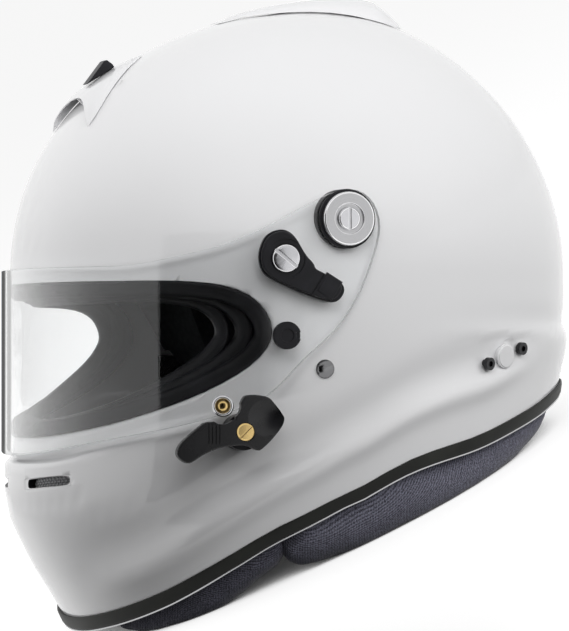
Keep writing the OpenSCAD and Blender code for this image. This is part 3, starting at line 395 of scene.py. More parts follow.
def webbing(name, color=(0.02, 0.02, 0.022)):
    """A diagonal weave that follows the strap's own UV map."""
    cloth = Finish(name, color, Roughness=0.8, Sheen_Weight=0.25, Sheen_Roughness=0.35)
    along = cloth.node("UVMap", {"uv_map": "run"})
    weave = cloth.node(
        "TexWave", {"bands_direction": "DIAGONAL", "wave_profile": "TRI"},
        {"Vector": along, "Scale": 420.0, "Distortion": 0.6},
    )
    cloth.feed("Base Color", cloth.shade(weave, tinted(color, 0.5), tinted(color, 2.4)))
    return cloth.relief(weave, 0.3, 0.8)


pad_knit = knit("blue grey knit")
black_webbing = webbing("black webbing")
mixed(pad_knit, black_webbing)

# %% [markdown]
# ## Copying a node into a mesh that can be worked on
# A node's own mesh is loose triangles and must stay as it is. A copy is merged first, so that
# neighbouring faces share their corners, and then it may be bevelled, subdivided or inflated.
# The finished piece rides on that node's body, and where it stands in for the node, the node is hidden.


# %% Copy a node
def form_of(data):
    """A bmesh of a mesh."""
    form = bmesh.new()
    form.from_mesh(data)
    return form


def merged_copy(node):
    """A bmesh of a node, its loose triangles joined."""
    form = form_of(nodes[node].data)
    bmesh.ops.remove_doubles(form, verts=form.verts, dist=0.002 * MM)
    return form


sample = merged_copy("latch_screw")
print("latch_screw:", len(nodes["latch_screw"].data.vertices), "loose corners,", len(sample.verts), "merged")
sample.free()


# %% Close a piece
def linked(name, data):
    """A new object in the scene."""
    made = bpy.data.objects.new(name, data)
    scene.collection.objects.link(made)
    return made


def mesh_of(form, name):
    """A mesh of a bmesh, which is freed."""
    data = bpy.data.meshes.new(name)
    form.to_mesh(data)
    form.free()
    return data


def add_piece(form, name, finish, carrier, crease=180):
    """Make an object of a bmesh, smooth up to the crease angle, that rides with a node."""
    data = mesh_of(form, name)
    data.shade_smooth()
    data.set_sharp_from_angle(angle=radians(crease))
    data.materials.append(finish.material)
    piece = linked(name, data)
    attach(piece, body_of[carrier])
    print(name, len(data.polygons), "faces")
    return piece


def close_piece(form, name, finish, node, crease=30):
    """The same for a piece that stands for the node."""
    piece = add_piece(form, name, finish, node, crease)
    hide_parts(node)
    return piece


# %% [markdown]
# ## A shell smooth enough for gloss
# Gloss paint shows every flat. The node's surface has a corner each five degrees, which is fine
# for building but shows as facets in a reflection. The shell follows a formula: superellipse
# sections whose size runs along a profile. Written again here as a level function, it is zero
# on the surface, so new corners from a subdivision can be pushed onto it along its gradient.

# %% Write down the shell's sizes
HALF_WIDTH, FRONT, REAR = 122.0, 149.7, 153.0
CROWN, WIDEST, CENTRE, LEAN = 142.0, 25.5, 13.0, 19.0
FRONT_POWER, REAR_POWER = 2.25, 2.05
SEAT_DEPTH, SEAT_STEP, PORT_TOP = 4.0, 4.0, 32.0
SEAT_END, SEAT_FADE = 50, 35
chin_profile = [
    (0, 0), (50, 0.6), (90, 2.6), (107, 3.4), (119, 3.3), (126, 2.3), (138, -2.6),
    (158, -13.2), (169, -20.5), (183, -28.9), (200, -37),
]
nape_profile = [(0, 0), (15, 0), (26, -1), (33, 1.8), (40, 1.5), (50, -1), (62, -3.5), (190, -20)]
side_profile = [(0, 0), (30, 0), (60, -0.8), (90, -2.2), (120, -5), (150, -10), (185, -18), (205, -23)]
seat_line = [
    (0, -126.5), (20, -125), (35, -117.5), (45, -111.5), (54, -106), (70, -97),
    (90, -85), (120, -70), (180, -54),
]
print("shell in mm:", 2 * HALF_WIDTH, "wide,", FRONT + REAR, "long, crown", CROWN - WIDEST, "above the axis")


# %% Draw smooth curves through tables
def slope(rows, i):
    """Slope of a table at row i, flat at its first row."""
    if i == 0:
        return 0.0
    low, high = rows[i - 1], rows[min(i + 1, len(rows) - 1)]
    return (high[1] - low[1]) / (high[0] - low[0])


def through(rows, q):
    """Smooth curve through the rows of a table."""
    i = max(0, min(len(rows) - 2, sum(q > row[0] for row in rows[1:])))
    reach = rows[i + 1][0] - rows[i][0]
    u = (q - rows[i][0]) / reach
    start, end = slope(rows, i) * reach, slope(rows, i + 1) * reach
    return (
        (2 * u**3 - 3 * u**2 + 1) * rows[i][1] + (u**3 - 2 * u**2 + u) * start
        + (3 * u**2 - 2 * u**3) * rows[i + 1][1] + (u**3 - u**2) * end
    )


def eased(u):
    """From 0 to 1 without corners, held beyond."""
    u = min(1.0, max(0.0, u))
    return u * u * (3 - 2 * u)


print("140 mm below its widest level the chin stands back by", round(-through(chin_profile, 140), 2), "mm")


# %% Write the surface as a level function
def seat_cut(phi, z):
    """Depth of the visor's seat at an angle and a level."""
    low = through(seat_line, phi)
    return (
        SEAT_DEPTH * eased((z - low + SEAT_STEP / 2) / SEAT_STEP)
        * (1 - eased((z - low) / (-PORT_TOP - low))) * (1 - eased((phi - SEAT_END) / SEAT_FADE))
    )


def section(z, ahead):
    """Half width, reach and power of the shell's section at a level, ahead of its middle or behind."""
    drop = max(0.0, -WIDEST - z)
    half = HALF_WIDTH + through(side_profile, drop)
    if ahead:
        return half, FRONT + through(chin_profile, drop), FRONT_POWER
    return half, REAR + through(nape_profile, drop), REAR_POWER


def shell_level(x, y, z):
    """Below 0 inside the shell's outer surface, above 0 outside it."""
    rise = max(0.0, (z + WIDEST) / CROWN)
    width = sqrt(max(1e-6, 1 - rise * rise))
    d = y - CENTRE - LEAN * (1 - width) ** 2
    half, reach, power = section(z, d < 0)
    a, b = (abs(x) / half) ** power, (abs(d) / reach) ** power
    if d < 0 and z < -PORT_TOP + 2:
        phi = degrees(atan2(sqrt(a), sqrt(b)))
        cut = seat_cut(phi, z)
        a, b = (abs(x) / (half - cut)) ** power, (abs(d) / (reach - cut)) ** power
    return (a + b) ** (2 / power) + rise * rise - 1


def onto_shell(p, step=0.05):
    """Offset in millimetres from the shell's outer surface, and the way out."""
    here = shell_level(*p)
    grade = Vector([
        (shell_level(*(p + step * way)) - shell_level(*(p - step * way))) / (2 * step)
        for way in Matrix.Identity(3)
    ])
    return here / grade.length, grade.normalized()


print("level on the forehead:", round(shell_level(0, CENTRE - FRONT, -WIDEST), 6))


# %% Find places on the shell
def round_power(c, power):
    """A sine or cosine bent to a superellipse."""
    return (1 if c > 0 else -1) * abs(c) ** (2 / power)


def shell_point(turn, z, off=0.0):
    """A place off the shell's surface: turned from the front towards the wearer's left, at a level."""
    width = sqrt(1 - max(0.0, (z + WIDEST) / CROWN) ** 2)
    half, reach, power = section(z, cos(radians(turn)) > 0)
    p = Vector((
        half * width * round_power(sin(radians(turn)), power),
        CENTRE + LEAN * (1 - width) ** 2 - reach * width * round_power(cos(radians(turn)), power), z,
    ))
    return p + onto_shell(p)[1] * off if off else p


print("side of the shell at the pivot:", [round(c, 2) for c in shell_point(88, 0)])

# %% [markdown]
# The corners of the outer face are found by their distance from the level surface. Only edges
# between two such corners are subdivided, so the inside and the walls of the openings keep
# their few faces. A soft ridge runs along the lower edge, where the laminate is folded to hold
# the trim: it swells the surface by up to three millimetres, with a shallow dip above it, and
# its upper flank is what draws the bright streak along the shell's lower side. The very top of
# the crown keeps its corners, because the formula's gradient can't be trusted there.


# %% Shape the ridge
edge_line = [
    (0, -209), (14, -207), (29, -202), (44, -193.5), (56, -183), (66, -171.5), (73, -162),
    (82, -150.5), (90, -138), (98, -127), (105, -120.5), (117, -112.5), (130, -102),
    (141, -94), (150, -88), (165, -82), (180, -80.5),
]
RIDGE_HEIGHT, RIDGE_WIDTH, RIDGE_LIFT, RIDGE_CLIMB = 2.8, 6.2, 13, 0.17
DIP_DEPTH, DIP_WIDTH, DIP_LIFT = 0.75, 10, 17
RIDGE_START, RIDGE_END, RIDGE_FADES, RIDGE_TOP = 14, 118, (25, 22), -60
CLIMB_FROM, CLIMB_SPAN = 40, 70


def turn_of(p):
    """Angle of a place round the shell, from the front to either side."""
    ahead = p.y < CENTRE
    half, reach, power = section(p.z, ahead)
    across, along = (abs(p.x) / half) ** (power / 2), (abs(p.y - CENTRE) / reach) ** (power / 2)
    turn = degrees(atan2(across, along))
    return turn if ahead else 180 - turn


def hump(x):
    """A smooth hump, 1 at 0 and next to nothing beyond 2."""
    return exp(-x * x)


def crest_at(turn):
    """Level of the ridge's crest, which climbs off the edge towards the rear."""
    return through(edge_line, turn) + RIDGE_LIFT + RIDGE_CLIMB * min(max(turn - CLIMB_FROM, 0), CLIMB_SPAN)


def ridge(p):
    """Swelling of the surface near its lower edge, in millimetres."""
    turn = turn_of(p)
    crest = crest_at(turn)
    fade = eased((turn - RIDGE_START) / RIDGE_FADES[0]) * (1 - eased((turn - RIDGE_END) / RIDGE_FADES[1]))
    dip = DIP_DEPTH * hump((p.z - crest - DIP_LIFT) / DIP_WIDTH)
    return fade * RIDGE_HEIGHT * (hump((p.z - crest) / RIDGE_WIDTH) - dip)


print("ridge at 80 degrees:", round(ridge(shell_point(80, crest_at(80))), 2), "mm high")


# %% Model the shell's skin
ON_FACE, NEAR_FACE = 0.3, 0.45
CROWN_SHARE = 0.98


def smooth_shell():
    """Subdivide the outer face of the shell and set every corner of it on the surface."""
    form = merged_copy("outer_shell")
    crown_limit = CROWN * CROWN_SHARE - WIDEST

    def outer(vert):
        p = worn_mm(vert.co)
        return p.z < crown_limit and abs(onto_shell(p)[0]) < ON_FACE

    on_face = {vert for vert in form.verts if outer(vert)}
    edges = [edge for edge in form.edges if edge.verts[0] in on_face and edge.verts[1] in on_face]
    bmesh.ops.subdivide_edges(form, edges=edges, cuts=2, use_grid_fill=True)
    moved = 0
    for vert in form.verts:
        p = worn_mm(vert.co)
        if p.z > crown_limit:
            continue
        gap, out = onto_shell(p)
        if abs(gap) < NEAR_FACE:
            swell = ridge(p) if p.z < RIDGE_TOP else 0.0
            vert.co = worn @ ((p + out * (swell - gap)) * MM)
            moved += 1
    print("outer corners set on the surface:", moved)
    return close_piece(form, "shell_skin", white_gelcoat, "outer_shell", 28)


smooth_shell()

# %% [markdown]
# ## Rounded edges on the rigid fittings
# Nothing that is moulded or turned has a perfectly sharp edge, and a small round is what catches the light
# along it. Coplanar triangles are dissolved first, so that the bevel meets clean faces, and a Weighted Normal
# modifier keeps the flat faces flat in the light. On turned metal the rounds get a second, brighter metal: a
# painted highlight along the edge.


# %% Find and round the hard edges
HARD_ANGLE = 32


def plain_copy(node):
    """A merged copy whose coplanar triangles are dissolved into whole faces."""
    form = merged_copy(node)
    bmesh.ops.dissolve_limit(form, angle_limit=radians(0.6), verts=form.verts, edges=form.edges)
    return form


def hard_edges(form, angle):
    """The edges where two faces meet at more than an angle, in degrees."""
    return [e for e in form.edges if len(e.link_faces) == 2 and e.calc_face_angle(0) > radians(angle)]


def bevelled(form, edges, width, segments, material=-1):
    """Round some edges of a form, the width in the form's own unit."""
    bmesh.ops.bevel(
        form, geom=edges, offset=width, offset_type="OFFSET", segments=segments, profile=0.5,
        affect="EDGES", clamp_overlap=True, material=material,
    )


def flat_between_rounds(piece):
    """Keep large faces flat in the light, and let only the small rounds turn it."""
    weighted = piece.modifiers.new("weighted", "WEIGHTED_NORMAL")
    weighted.keep_sharp = True
    weighted.weight = 100
    return piece


sample = plain_copy("visor_pivot_discs")
print("pivot discs:", len(hard_edges(sample, HARD_ANGLE)), "hard edges of", len(sample.edges))
sample.free()


# %% Round and finish the fittings
def rounded(node, name, finish, edge_mm, crease):
    """Copy a node, round its hard edges and give it its finish."""
    form = plain_copy(node)
    # Turned metal gets the brighter second material on its rounds: a painted highlight along the edge.
    turned = finish in (brushed_disc, bright_screw)
    if edge_mm:
        bevelled(form, hard_edges(form, HARD_ANGLE), edge_mm * MM, 2, 1 if turned else -1)
    piece = flat_between_rounds(close_piece(form, name, finish, node, crease))
    if turned:
        piece.data.materials.append(painted_highlight_edge.material)


fittings = [
    ("shell_trim", "edge_trim", trim_rubber, 0, 40),
    ("eyeport_gasket", "eyeport_seal", black_rubber, 0, 40),
    ("visor_pivot_bosses", "pivot_bosses", black_moulding, 0, 34),
    ("visor_pivot_rings", "pivot_rings", black_moulding, 0.25, 34),
    ("visor_pivot_discs", "pivot_discs", brushed_disc, 0.3, 34),
    ("visor_pivot_screws", "pivot_screws", bright_screw, 0.2, 34),
    ("lever_screws", "demist_screws", bright_screw, 0.2, 34),
    ("tear_off_posts", "tear_off_buttons", black_moulding, 0.3, 34),
    ("latch_collar", "pin_collar", bright_screw, 0.15, 34),
    ("latch_pin", "visor_pin", brass_screw, 0.12, 34),
    ("latch_base", "latch_washer", black_moulding, 0, 34),
    ("latch_screw", "latch_axle", brass_screw, 0.12, 34),
    ("brow_duct", "brow_hood", white_gelcoat, 0, 40),
    ("brow_slider", "brow_fin", black_moulding, 0.5, 34),
    ("top_duct", "top_hood", white_gelcoat, 0, 40),
    ("strap_rivets", "rivet_heads", rivet_steel, 0.1, 34),
    ("anchor_screws", "anchor_heads", black_steel, 0.2, 34),
    ("anchor_plugs", "anchor_caps", white_gelcoat, 0.2, 34),
]
for fitting in fittings:
    rounded(*fitting)

# %% [markdown]
# ## The demist levers
# A small cam under the visor's arm lets it stand a little open against fogging. Its lever is a
# flat teardrop: a round head about the slotted screw, running out into a short handle with a
# raised thumb pad. The outline is a smooth closed curve through two dozen measured places. One
# face is made of it, extruded to a thin foot and a slightly smaller body, and the round recess
# about the screw, the pad and the groove before it are cut or raised with plain solids.

# %% Draw a flowing outline
lever_outline = [
    (-13.8, 1.3), (-12.6, 7), (-9.9, 11.7), (-5.5, 14.3), (-1.1, 14.9), (2.8, 13.4), (6.1, 10.1), (8.8, 5.5),
    (11.6, 1.3), (14.9, -2.3), (16.4, -5.2), (19.8, -7.2), (27.5, -11.1), (30.4, -13.2), (31.4, -16),
    (30.6, -18.8), (28.2, -21.6), (24.8, -22.6), (19.5, -21.6), (14.3, -19.9), (4.4, -16.2),
    (-5.5, -11.6), (-11, -8), (-13.2, -3.6),
]


def flowing(outline, cuts=3):
    """More corners on a closed outline, along a smooth curve through the given ones."""
    fine, count = [], len(outline)
    for i in range(count):
        a, b, c, d = (Vector(outline[(i + k) % count]) for k in (-1, 0, 1, 2))
        for u in (k / cuts for k in range(cuts)):
            square, cube = 2 * a - 5 * b + 4 * c - d, 3 * b - a - 3 * c + d
            fine.append(0.5 * (2 * b + u * (c - a) + u**2 * square + u**3 * cube))
    return fine


print("lever outline:", len(lever_outline), "places,", len(flowing(lever_outline)), "corners")


# %% Make slabs, discs and bars
def slab(outline, low, high, edge=0.0):
    """An outline extruded from one height to another, its upper edge rounded."""
    form = bmesh.new()
    foot = form.faces.new([form.verts.new((p.x, p.y, low)) for p in outline])
    raised = bmesh.ops.extrude_face_region(form, geom=[foot])
    top = [v for v in raised["geom"] if isinstance(v, bmesh.types.BMVert)]
    bmesh.ops.translate(form, verts=top, vec=(0, 0, high - low))
    bmesh.ops.recalc_face_normals(form, faces=form.faces)
    if edge:
        bevelled(form, [e for e in form.edges if all(v.co.z > high - 0.01 for v in e.verts)], edge, 4)
    return form


def disc(radius, low, high, centre=(0, 0), sides=64):
    """A round solid between two heights."""
    rim = [Vector((cos(2 * pi * k / sides), sin(2 * pi * k / sides))) for k in range(sides)]
    return slab([Vector(centre) + radius * way for way in rim], low, high)


def bar(left, far, front, rear, low, high, edge=0.0, dip=0.0):
    """A rectangular solid, turned by the dip in the plane it lies in."""
    turned = Matrix.Rotation(dip, 2)
    corners = [(left, front), (far, front), (far, rear), (left, rear)]
    return slab([turned @ Vector(c) for c in corners], low, high, edge)


sample = slab(flowing(lever_outline), 0, 5, 0.9)
print("a rounded slab has", len(sample.faces), "faces")
sample.free()


# %% Join, cut and place solids
FLAT_TO_SIDE = Matrix(((0, 0, 1, 0), (1, 0, 0, 0), (0, 1, 0, 0), (0, 0, 0, 1)))


def result_of(holder):
    """The mesh that an object's modifiers or curve leave. The object goes away."""
    evaluated = holder.evaluated_get(bpy.context.evaluated_depsgraph_get())
    data = bpy.data.meshes.new_from_object(evaluated)
    bpy.data.objects.remove(holder)
    return data


def combined(body, joined, cut):
    """A body with some solids joined to it and others cut from it, by a stack of Boolean modifiers."""
    holder = linked("solid", mesh_of(body, "solid"))
    solids = [linked("solid", mesh_of(form, "solid")) for form in joined + cut]
    for k, solid in enumerate(solids):
        step = holder.modifiers.new("step", "BOOLEAN")
        step.operation = "UNION" if k < len(joined) else "DIFFERENCE"
        step.solver, step.object = "EXACT", solid
    result = form_of(result_of(holder))
    for solid in solids:
        bpy.data.objects.remove(solid)
    return result


def on_side(place, turn, tilt=0.0):
    """The matrix that stands a form, made lying flat, at a place on the helmet's left side."""
    turned = Matrix.Rotation(turn, 4, "Z") @ Matrix.Rotation(tilt, 4, "Y")
    return Matrix.Translation(place) @ turned @ FLAT_TO_SIDE


def side_piece(form, name, finish, node, place, mirror=False):
    """Put a form that was made lying flat, in millimetres, on the side of the helmet."""
    flip = Matrix.Diagonal((-1 if mirror else 1, 1, 1, 1))
    bmesh.ops.transform(form, matrix=worn @ Matrix.Scale(MM, 4) @ flip @ place, verts=form.verts)
    bmesh.ops.recalc_face_normals(form, faces=form.faces)
    flat_between_rounds(close_piece(form, name, finish, node, 34))


# %% Shape the demist levers
LEVER_SPOT, LEVER_TURN, HANDLE_DIP = (124.496, -33.9, -20.9), radians(-7.884), radians(-32)
FOOT_TOP, BODY_TOP, PAD_TOP = 2.5, 5.0, 5.5
RECESS_R, SCREW_SEAT_R, SCREW_WAY_R = 10.2, 7.9, 3.05


def demist_lever(node, name, mirror):
    """A foot, a body and a thumb pad in one, with a groove and a stepped recess for the screw."""
    outline = flowing(lever_outline)
    form = combined(
        slab(outline, 0.15, FOOT_TOP, 0.4),
        [
            slab([0.94 * p for p in outline], 0.5, BODY_TOP, 0.9),
            bar(22.3, 31.9, -5.6, 5.6, 2.0, PAD_TOP, 0.8, HANDLE_DIP),
        ],
        [
            bar(20.6, 21.7, -12, 12, BODY_TOP - 0.9, 9, 0.0, HANDLE_DIP),
            disc(RECESS_R, BODY_TOP - 0.8, 9), disc(SCREW_SEAT_R, BODY_TOP - 1.65, 9),
            disc(SCREW_WAY_R, -1, 9),
        ],
    )
    side_piece(form, name, black_moulding, node, on_side(LEVER_SPOT, LEVER_TURN), mirror)


demist_lever("demist_lever_left", "demist_arm_left", False)
demist_lever("demist_lever_right", "demist_arm_right", True)

# %% [markdown]
# ## The latch paddle
# The latch that holds the visor shut is a rocker on a brass screw: a cupped paddle to the rear,
# and a finger with four grooves to the front. It is the same recipe as the levers, a flowing
# outline made into a slab, but its cup is cut with a large ball, and the finger is deepened from
# below. A wide round along the upper edge gives it the look of a moulded, handled thing.

# %% Shape the latch paddle
LATCH_SPOT, LATCH_TURN = (122.2, -55.2, -110.5), radians(-8)
PADDLE_THICK, PADDLE_EDGE = 5.0, 1.5
AXLE_SEAT_R, AXLE_WAY_R = 5.0, 2.55
CUP_PLACE, CUP_R, CUP_RISE = (11, 7), 22.5, 20.2
PIN_PLACE, COLLAR_WAY = Vector((-9.3, 13.4)), 6.9
GROOVE_START, GROOVE_PITCH, GROOVE_WIDE = -20, 1.9, 0.9
paddle_outline = [
    (-5.1, 8.3), (-1.4, 17.2), (1.5, 19), (7, 19), (11.7, 18), (14.5, 15.7), (19.5, 9.2), (20.5, 6.3),
    (19, 2.4), (14, -3.9), (8.7, -8.8), (6.1, -9.4), (0, -7.1), (-8.4, -7.4), (-16.3, -9.2),
    (-22.8, -12.3), (-29.2, -16.1), (-33.5, -14.7), (-35.9, -11.4), (-34.4, -6.5), (-29.3, -1.4),
    (-23.8, 3.1), (-20.1, 5.1), (-6.9, 6.1),
]
finger_outline = [
    (-12.1, -7.6), (-16.3, -8.8), (-22.8, -11.9), (-29.2, -15.6), (-33, -14.3), (-35.4, -11.4),
    (-33.9, -6.6), (-29, -1.8), (-22.3, 1.8), (-12.1, 2.6),
]


def latch_paddle():
    """A cupped paddle and a grooved finger, with ways for its screw and for the pin's collar."""
    ball = bmesh.new()
    cup = Matrix.Translation((*CUP_PLACE, PADDLE_THICK + CUP_RISE))
    bmesh.ops.create_uvsphere(ball, u_segments=96, v_segments=48, radius=CUP_R, matrix=cup)
    collar_ways = [
        disc(COLLAR_WAY, -9, 20, Matrix.Rotation(radians(turn), 2) @ PIN_PLACE) for turn in (0, 7, 14)
    ]
    starts = [GROOVE_START + GROOVE_PITCH * i for i in range(4)]
    grooves = [bar(u, u + GROOVE_WIDE, -6, 4.6, PADDLE_THICK - 0.7, 8) for u in starts]
    form = combined(
        slab(flowing(paddle_outline), 0, PADDLE_THICK, PADDLE_EDGE),
        [slab(flowing(finger_outline), -3.5, 0.5)],
        [ball, disc(AXLE_SEAT_R, PADDLE_THICK - 1.6, 12), disc(AXLE_WAY_R, -10, 12), *collar_ways, *grooves],
    )
    side_piece(form, "latch_paddle", latch_plastic, "latch_lever", on_side(LATCH_SPOT, LATCH_TURN))


latch_paddle()

# %% [markdown]
# ## The stepped ledge behind the seal
# Inside the eyeport the liner comes forward in black steps, wider at the sides and under the
# brow than below. The steps run parallel to the seal, so each one is a copy of it, drawn towards
# the middle of the port and set deeper. The copies overlap, and no gap opens between them.

# %% Model the ledge
PORT_MIDDLE_Z = -66.0
ledge_steps = [("ledge_front", 0.945, 0.93, 0.985, 6.5), ("ledge_back", 0.875, 0.85, 0.97, 10.5)]


def model_step(name, draw, brow, sill, deeper):
    """A copy of the seal, drawn together sideways, under the brow and at the sill, and set deeper."""
    form = merged_copy("eyeport_gasket")
    for vert in form.verts:
        p = worn_mm(vert.co)
        rise = p.z - PORT_MIDDLE_Z
        level = PORT_MIDDLE_Z + rise * (brow if rise > 0 else sill)
        spot = shell_point(turn_of(p) * draw, level, onto_shell(p)[0] - deeper)
        vert.co = worn @ (Vector((spot.x if p.x > 0 else -spot.x, spot.y, spot.z)) * MM)
    add_piece(form, name, black_rubber, "eyeport_gasket")


for step in ledge_steps:
    model_step(*step)

# %% [markdown]
# ## The visor and its bright edge
# The sheet's polished edge is what one really sees of a clear visor. The light piped through the sheet to its
# rim is painted: the rim gets a milky white, a painted glow, between two chamfers painted dark as shade. The
# faces of the rim are told from the two large faces by where they point, the chamfer comes from a bevel, and
# each set gets its own finish.

# %% Model the visor
RIM_ANGLE, CHAMFER = 40, 0.8 * MM
SHEET_AXIS_Y, FACE_MATCH, FACE_TILT = -15, 0.8, 0.05


def painted_edge_light(name, color, clear):
    """An edge colour, a painted glow or painted shade by the colour given, that still lets some of what is
    behind it through.
    """
    edge = Finish(name, color, Roughness=0.15, Specular_IOR_Level=0.6)
    cast = edge.noise(60, 2.0)
    edge.feed("Base Color", edge.shade(cast, tinted(color, 0.9), color))
    through_sheet = edge.node("BsdfTransparent")
    surface = Level(edge, edge.skin.outputs["BSDF"])
    edge.close(edge.node("MixShader", {}, {0: clear, 1: surface, 2: through_sheet}))
    return edge


def model_visor():
    """The sheet with its three finishes: large faces, rim and chamfer."""
    form = plain_copy("visor")
    form.normal_update()
    turned = worn.to_3x3().inverted()
    for face in form.faces:
        way, spot = turned @ face.normal, worn_mm(face.calc_center_median())
        outwards = Vector((spot.x, min(0.0, spot.y - SHEET_AXIS_Y), 0)).normalized()
        large = abs(way.dot(outwards)) > FACE_MATCH and abs(way.z) < FACE_TILT
        face.material_index = 0 if large else 1
    bevelled(form, hard_edges(form, RIM_ANGLE), CHAMFER, 2, 2)
    visor = close_piece(form, "clear_visor", shield, "visor", 20)
    # The rim's milky white is a painted glow of light piped through the sheet, and the chamfer's dark is
    # painted shade.
    rim = painted_edge_light("painted glow of the rim", (0.75, 0.77, 0.78), 0.25)
    chamfer = painted_edge_light("painted shade of the chamfer", (0.12, 0.125, 0.13), 0.4)
    visor.data.materials.append(rim.material)
    visor.data.materials.append(chamfer.material)


model_visor()

# %% [markdown]
# ## Pieces that stay as they are
# Nuts, plates, rings and foam are right as they arrive, and only need their finish. Assigning to
# the material slot changes the look and leaves the mesh alone.

# %% Finish the inner pieces
inner_finish = {
    "visor_pivot_nuts": steel_parts, "latch_nut": steel_parts, "anchor_plates": steel_parts,
    "d_rings": steel_parts, "impact_liner": grey_foam, "chin_liner": grey_foam,
    "chin_vent_shutter": black_moulding,
}
for node, finish in inner_finish.items():
    data = nodes[node].data
    data.materials.clear()
    data.materials.append(finish.material)
print("finished", sorted(inner_finish))

# %% [markdown]
# ## Pads that look stuffed
# A foam pad under knit has a crown, and its cloth pulls tight between seams. The quickest honest
# way is a short cloth simulation: the solid is shrunk a little, remeshed into even squares, and
# blown up by a gentle pressure. Each corner may only travel so far, so the pad ends inside the
# room it was given and stays flat on the table.


# %% Shape a pad round the lower edge
TRIM_DROP, PAD_DEPTH = 8.1, 6.2
PAD_BULGE, BULGE_RISE = 5.5, 7
PAD_POWER, AROUND = 2.7, 20
RINGS_FROM, RINGS_TO, RINGS_FADE = 66, 80, (8, 10)
cheek_drop = [(5, 4), (12, 8), (20, 11), (35, 15), (50, 19), (60, 20.5), (68, 20.5), (78, 19)]
cheek_top = [(5, -186), (30, -178), (46, -168), (56, -150), (64, -128), (78, -110)]
roll_drop = [
    (74, 21), (84, 28), (92, 32), (100, 33), (115, 31), (130, 27), (150, 20), (165, 13), (180, 9)
]
roll_top = [(74, -122), (90, -120), (105, -101), (125, -84), (150, -68), (180, -58)]


def pad_form(start, end, tops, drops, thick, rows, blunt, ring_room, mirror=False):
    """A closed pad along the shell: a grid bent round itself, its seam merged and its ends filled."""
    form = bmesh.new()
    bmesh.ops.create_grid(form, x_segments=AROUND, y_segments=rows, size=0.5)
    for vert in form.verts:
        q, v = 2 * pi * (vert.co.x + 0.5), vert.co.y + 0.5
        turn = start + (end - start) * v
        fold = min(turn, 360 - turn)
        full = max(0.02, (1 - (1 - v) ** blunt[0]) * (1 - v ** blunt[1])) ** 0.4
        hem = through(edge_line, fold) - TRIM_DROP
        top, low = through(tops, fold), hem - through(drops, fold)
        half, deep = (top - low) / 2 * (0.6 + 0.4 * full), thick / 2 * (0.25 + 0.75 * full)
        level = (top + low) / 2 - half * round_power(sin(q), PAD_POWER)
        outwards = PAD_BULGE * eased((hem - level) / BULGE_RISE) * max(0.0, cos(q)) ** 0.3
        near_rings = eased((fold - RINGS_FROM) / RINGS_FADE[0] + 1)
        near_rings *= eased((RINGS_TO - fold) / RINGS_FADE[1] + 1)
        outwards += ring_room * near_rings * max(0.0, -cos(q)) ** 0.3
        middle = -PAD_DEPTH - thick / 2 + (thick / 2 - deep) * 0.6
        p = shell_point(turn, level, middle + deep * round_power(cos(q), PAD_POWER) + outwards)
        vert.co = worn @ (Vector((-p.x if mirror else p.x, p.y, p.z)) * MM)
    bmesh.ops.remove_doubles(form, verts=form.verts, dist=0.01 * MM)
    open_ends = [edge for edge in form.edges if edge.is_boundary]
    bmesh.ops.holes_fill(form, edges=open_ends, sides=0)
    bmesh.ops.recalc_face_normals(form, faces=form.faces)
    return form


# %% [markdown]
# The blow itself takes three steps. A voxel remesh gives squares of one size, because cloth
# stretches evenly only on an even mesh. A short run of the Cloth modifier, with pressure and no
# gravity, says where each corner wants to go. Then each corner goes there, but only as far as the
# cap allows, and one subdivision makes the skin smooth. Beside the rings of the strap the inner
# face stands back, so that the rings can swing.

# %% Inflate a pad
VOXEL, SHRINK, SWELL = 4.5 * MM, 0.8 * MM, 2.2 * MM
BLOW_FRAMES = 16
TABLE_GAP = 0.0002


def even_mesh(data):
    """The same form in even squares, by a voxel remesh."""
    holder = linked("holder", data)
    squares = holder.modifiers.new("squares", "REMESH")
    squares.mode = "VOXEL"
    squares.voxel_size = VOXEL
    return result_of(holder)


def blown_up(data, pressure):
    """Where the corners of a closed cloth end after a short blow."""
    bag = linked("bag", data)
    cloth = bag.modifiers.new("cloth", "CLOTH")
    fabric = cloth.settings
    fabric.quality = 4
    fabric.mass = 0.3
    fabric.tension_stiffness = 18
    fabric.compression_stiffness = 12
    fabric.bending_stiffness = 0.4
    fabric.use_pressure = True
    fabric.uniform_pressure_force = pressure
    fabric.effector_weights.gravity = 0
    cloth.point_cache.frame_start = 1
    cloth.point_cache.frame_end = BLOW_FRAMES
    for step in range(1, BLOW_FRAMES + 1):
        scene.frame_set(step)
    ends = [vert.co.copy() for vert in result_of(bag).vertices]
    scene.frame_set(1)
    return ends


def stuffed_pad(form, node, name, pressure=4.0):
    """Shrink, remesh and inflate a closed form, and close it as a padded piece."""
    for vert in form.verts:
        vert.co = vert.co - vert.normal * SHRINK
    even = even_mesh(mesh_of(form, name))
    for vert, end in zip(even.vertices, blown_up(even.copy(), pressure)):
        way = end - vert.co
        vert.co += way * min(1.0, SWELL / max(way.length, 1e-9))
    form = form_of(even)
    bmesh.ops.smooth_vert(
        form, verts=form.verts, factor=0.5, use_axis_x=True, use_axis_y=True, use_axis_z=True
    )
    for vert in form.verts:
        vert.co.z = max(vert.co.z, TABLE_GAP)
    piece = close_piece(form, name, pad_knit, node, 180)
    softer = piece.modifiers.new("softer", "SUBSURF")
    softer.levels = softer.render_levels = 1
    return piece


cheek = (5, 78.2, cheek_top, cheek_drop, 42, 30, (7, 70), 18)
neck = (74.8, 285.2, roll_top, roll_drop, 27, 76, (80, 80), 5)
stuffed_pad(pad_form(*cheek), "cheek_pad_left", "cheek_cushion_left")
stuffed_pad(pad_form(*cheek, mirror=True), "cheek_pad_right", "cheek_cushion_right")
stuffed_pad(pad_form(*neck), "neck_roll", "neck_cushion")
lining = merged_copy("crown_pad")
bmesh.ops.recalc_face_normals(lining, faces=lining.faces)
stuffed_pad(lining, "crown_pad", "crown_lining", pressure=2.0)

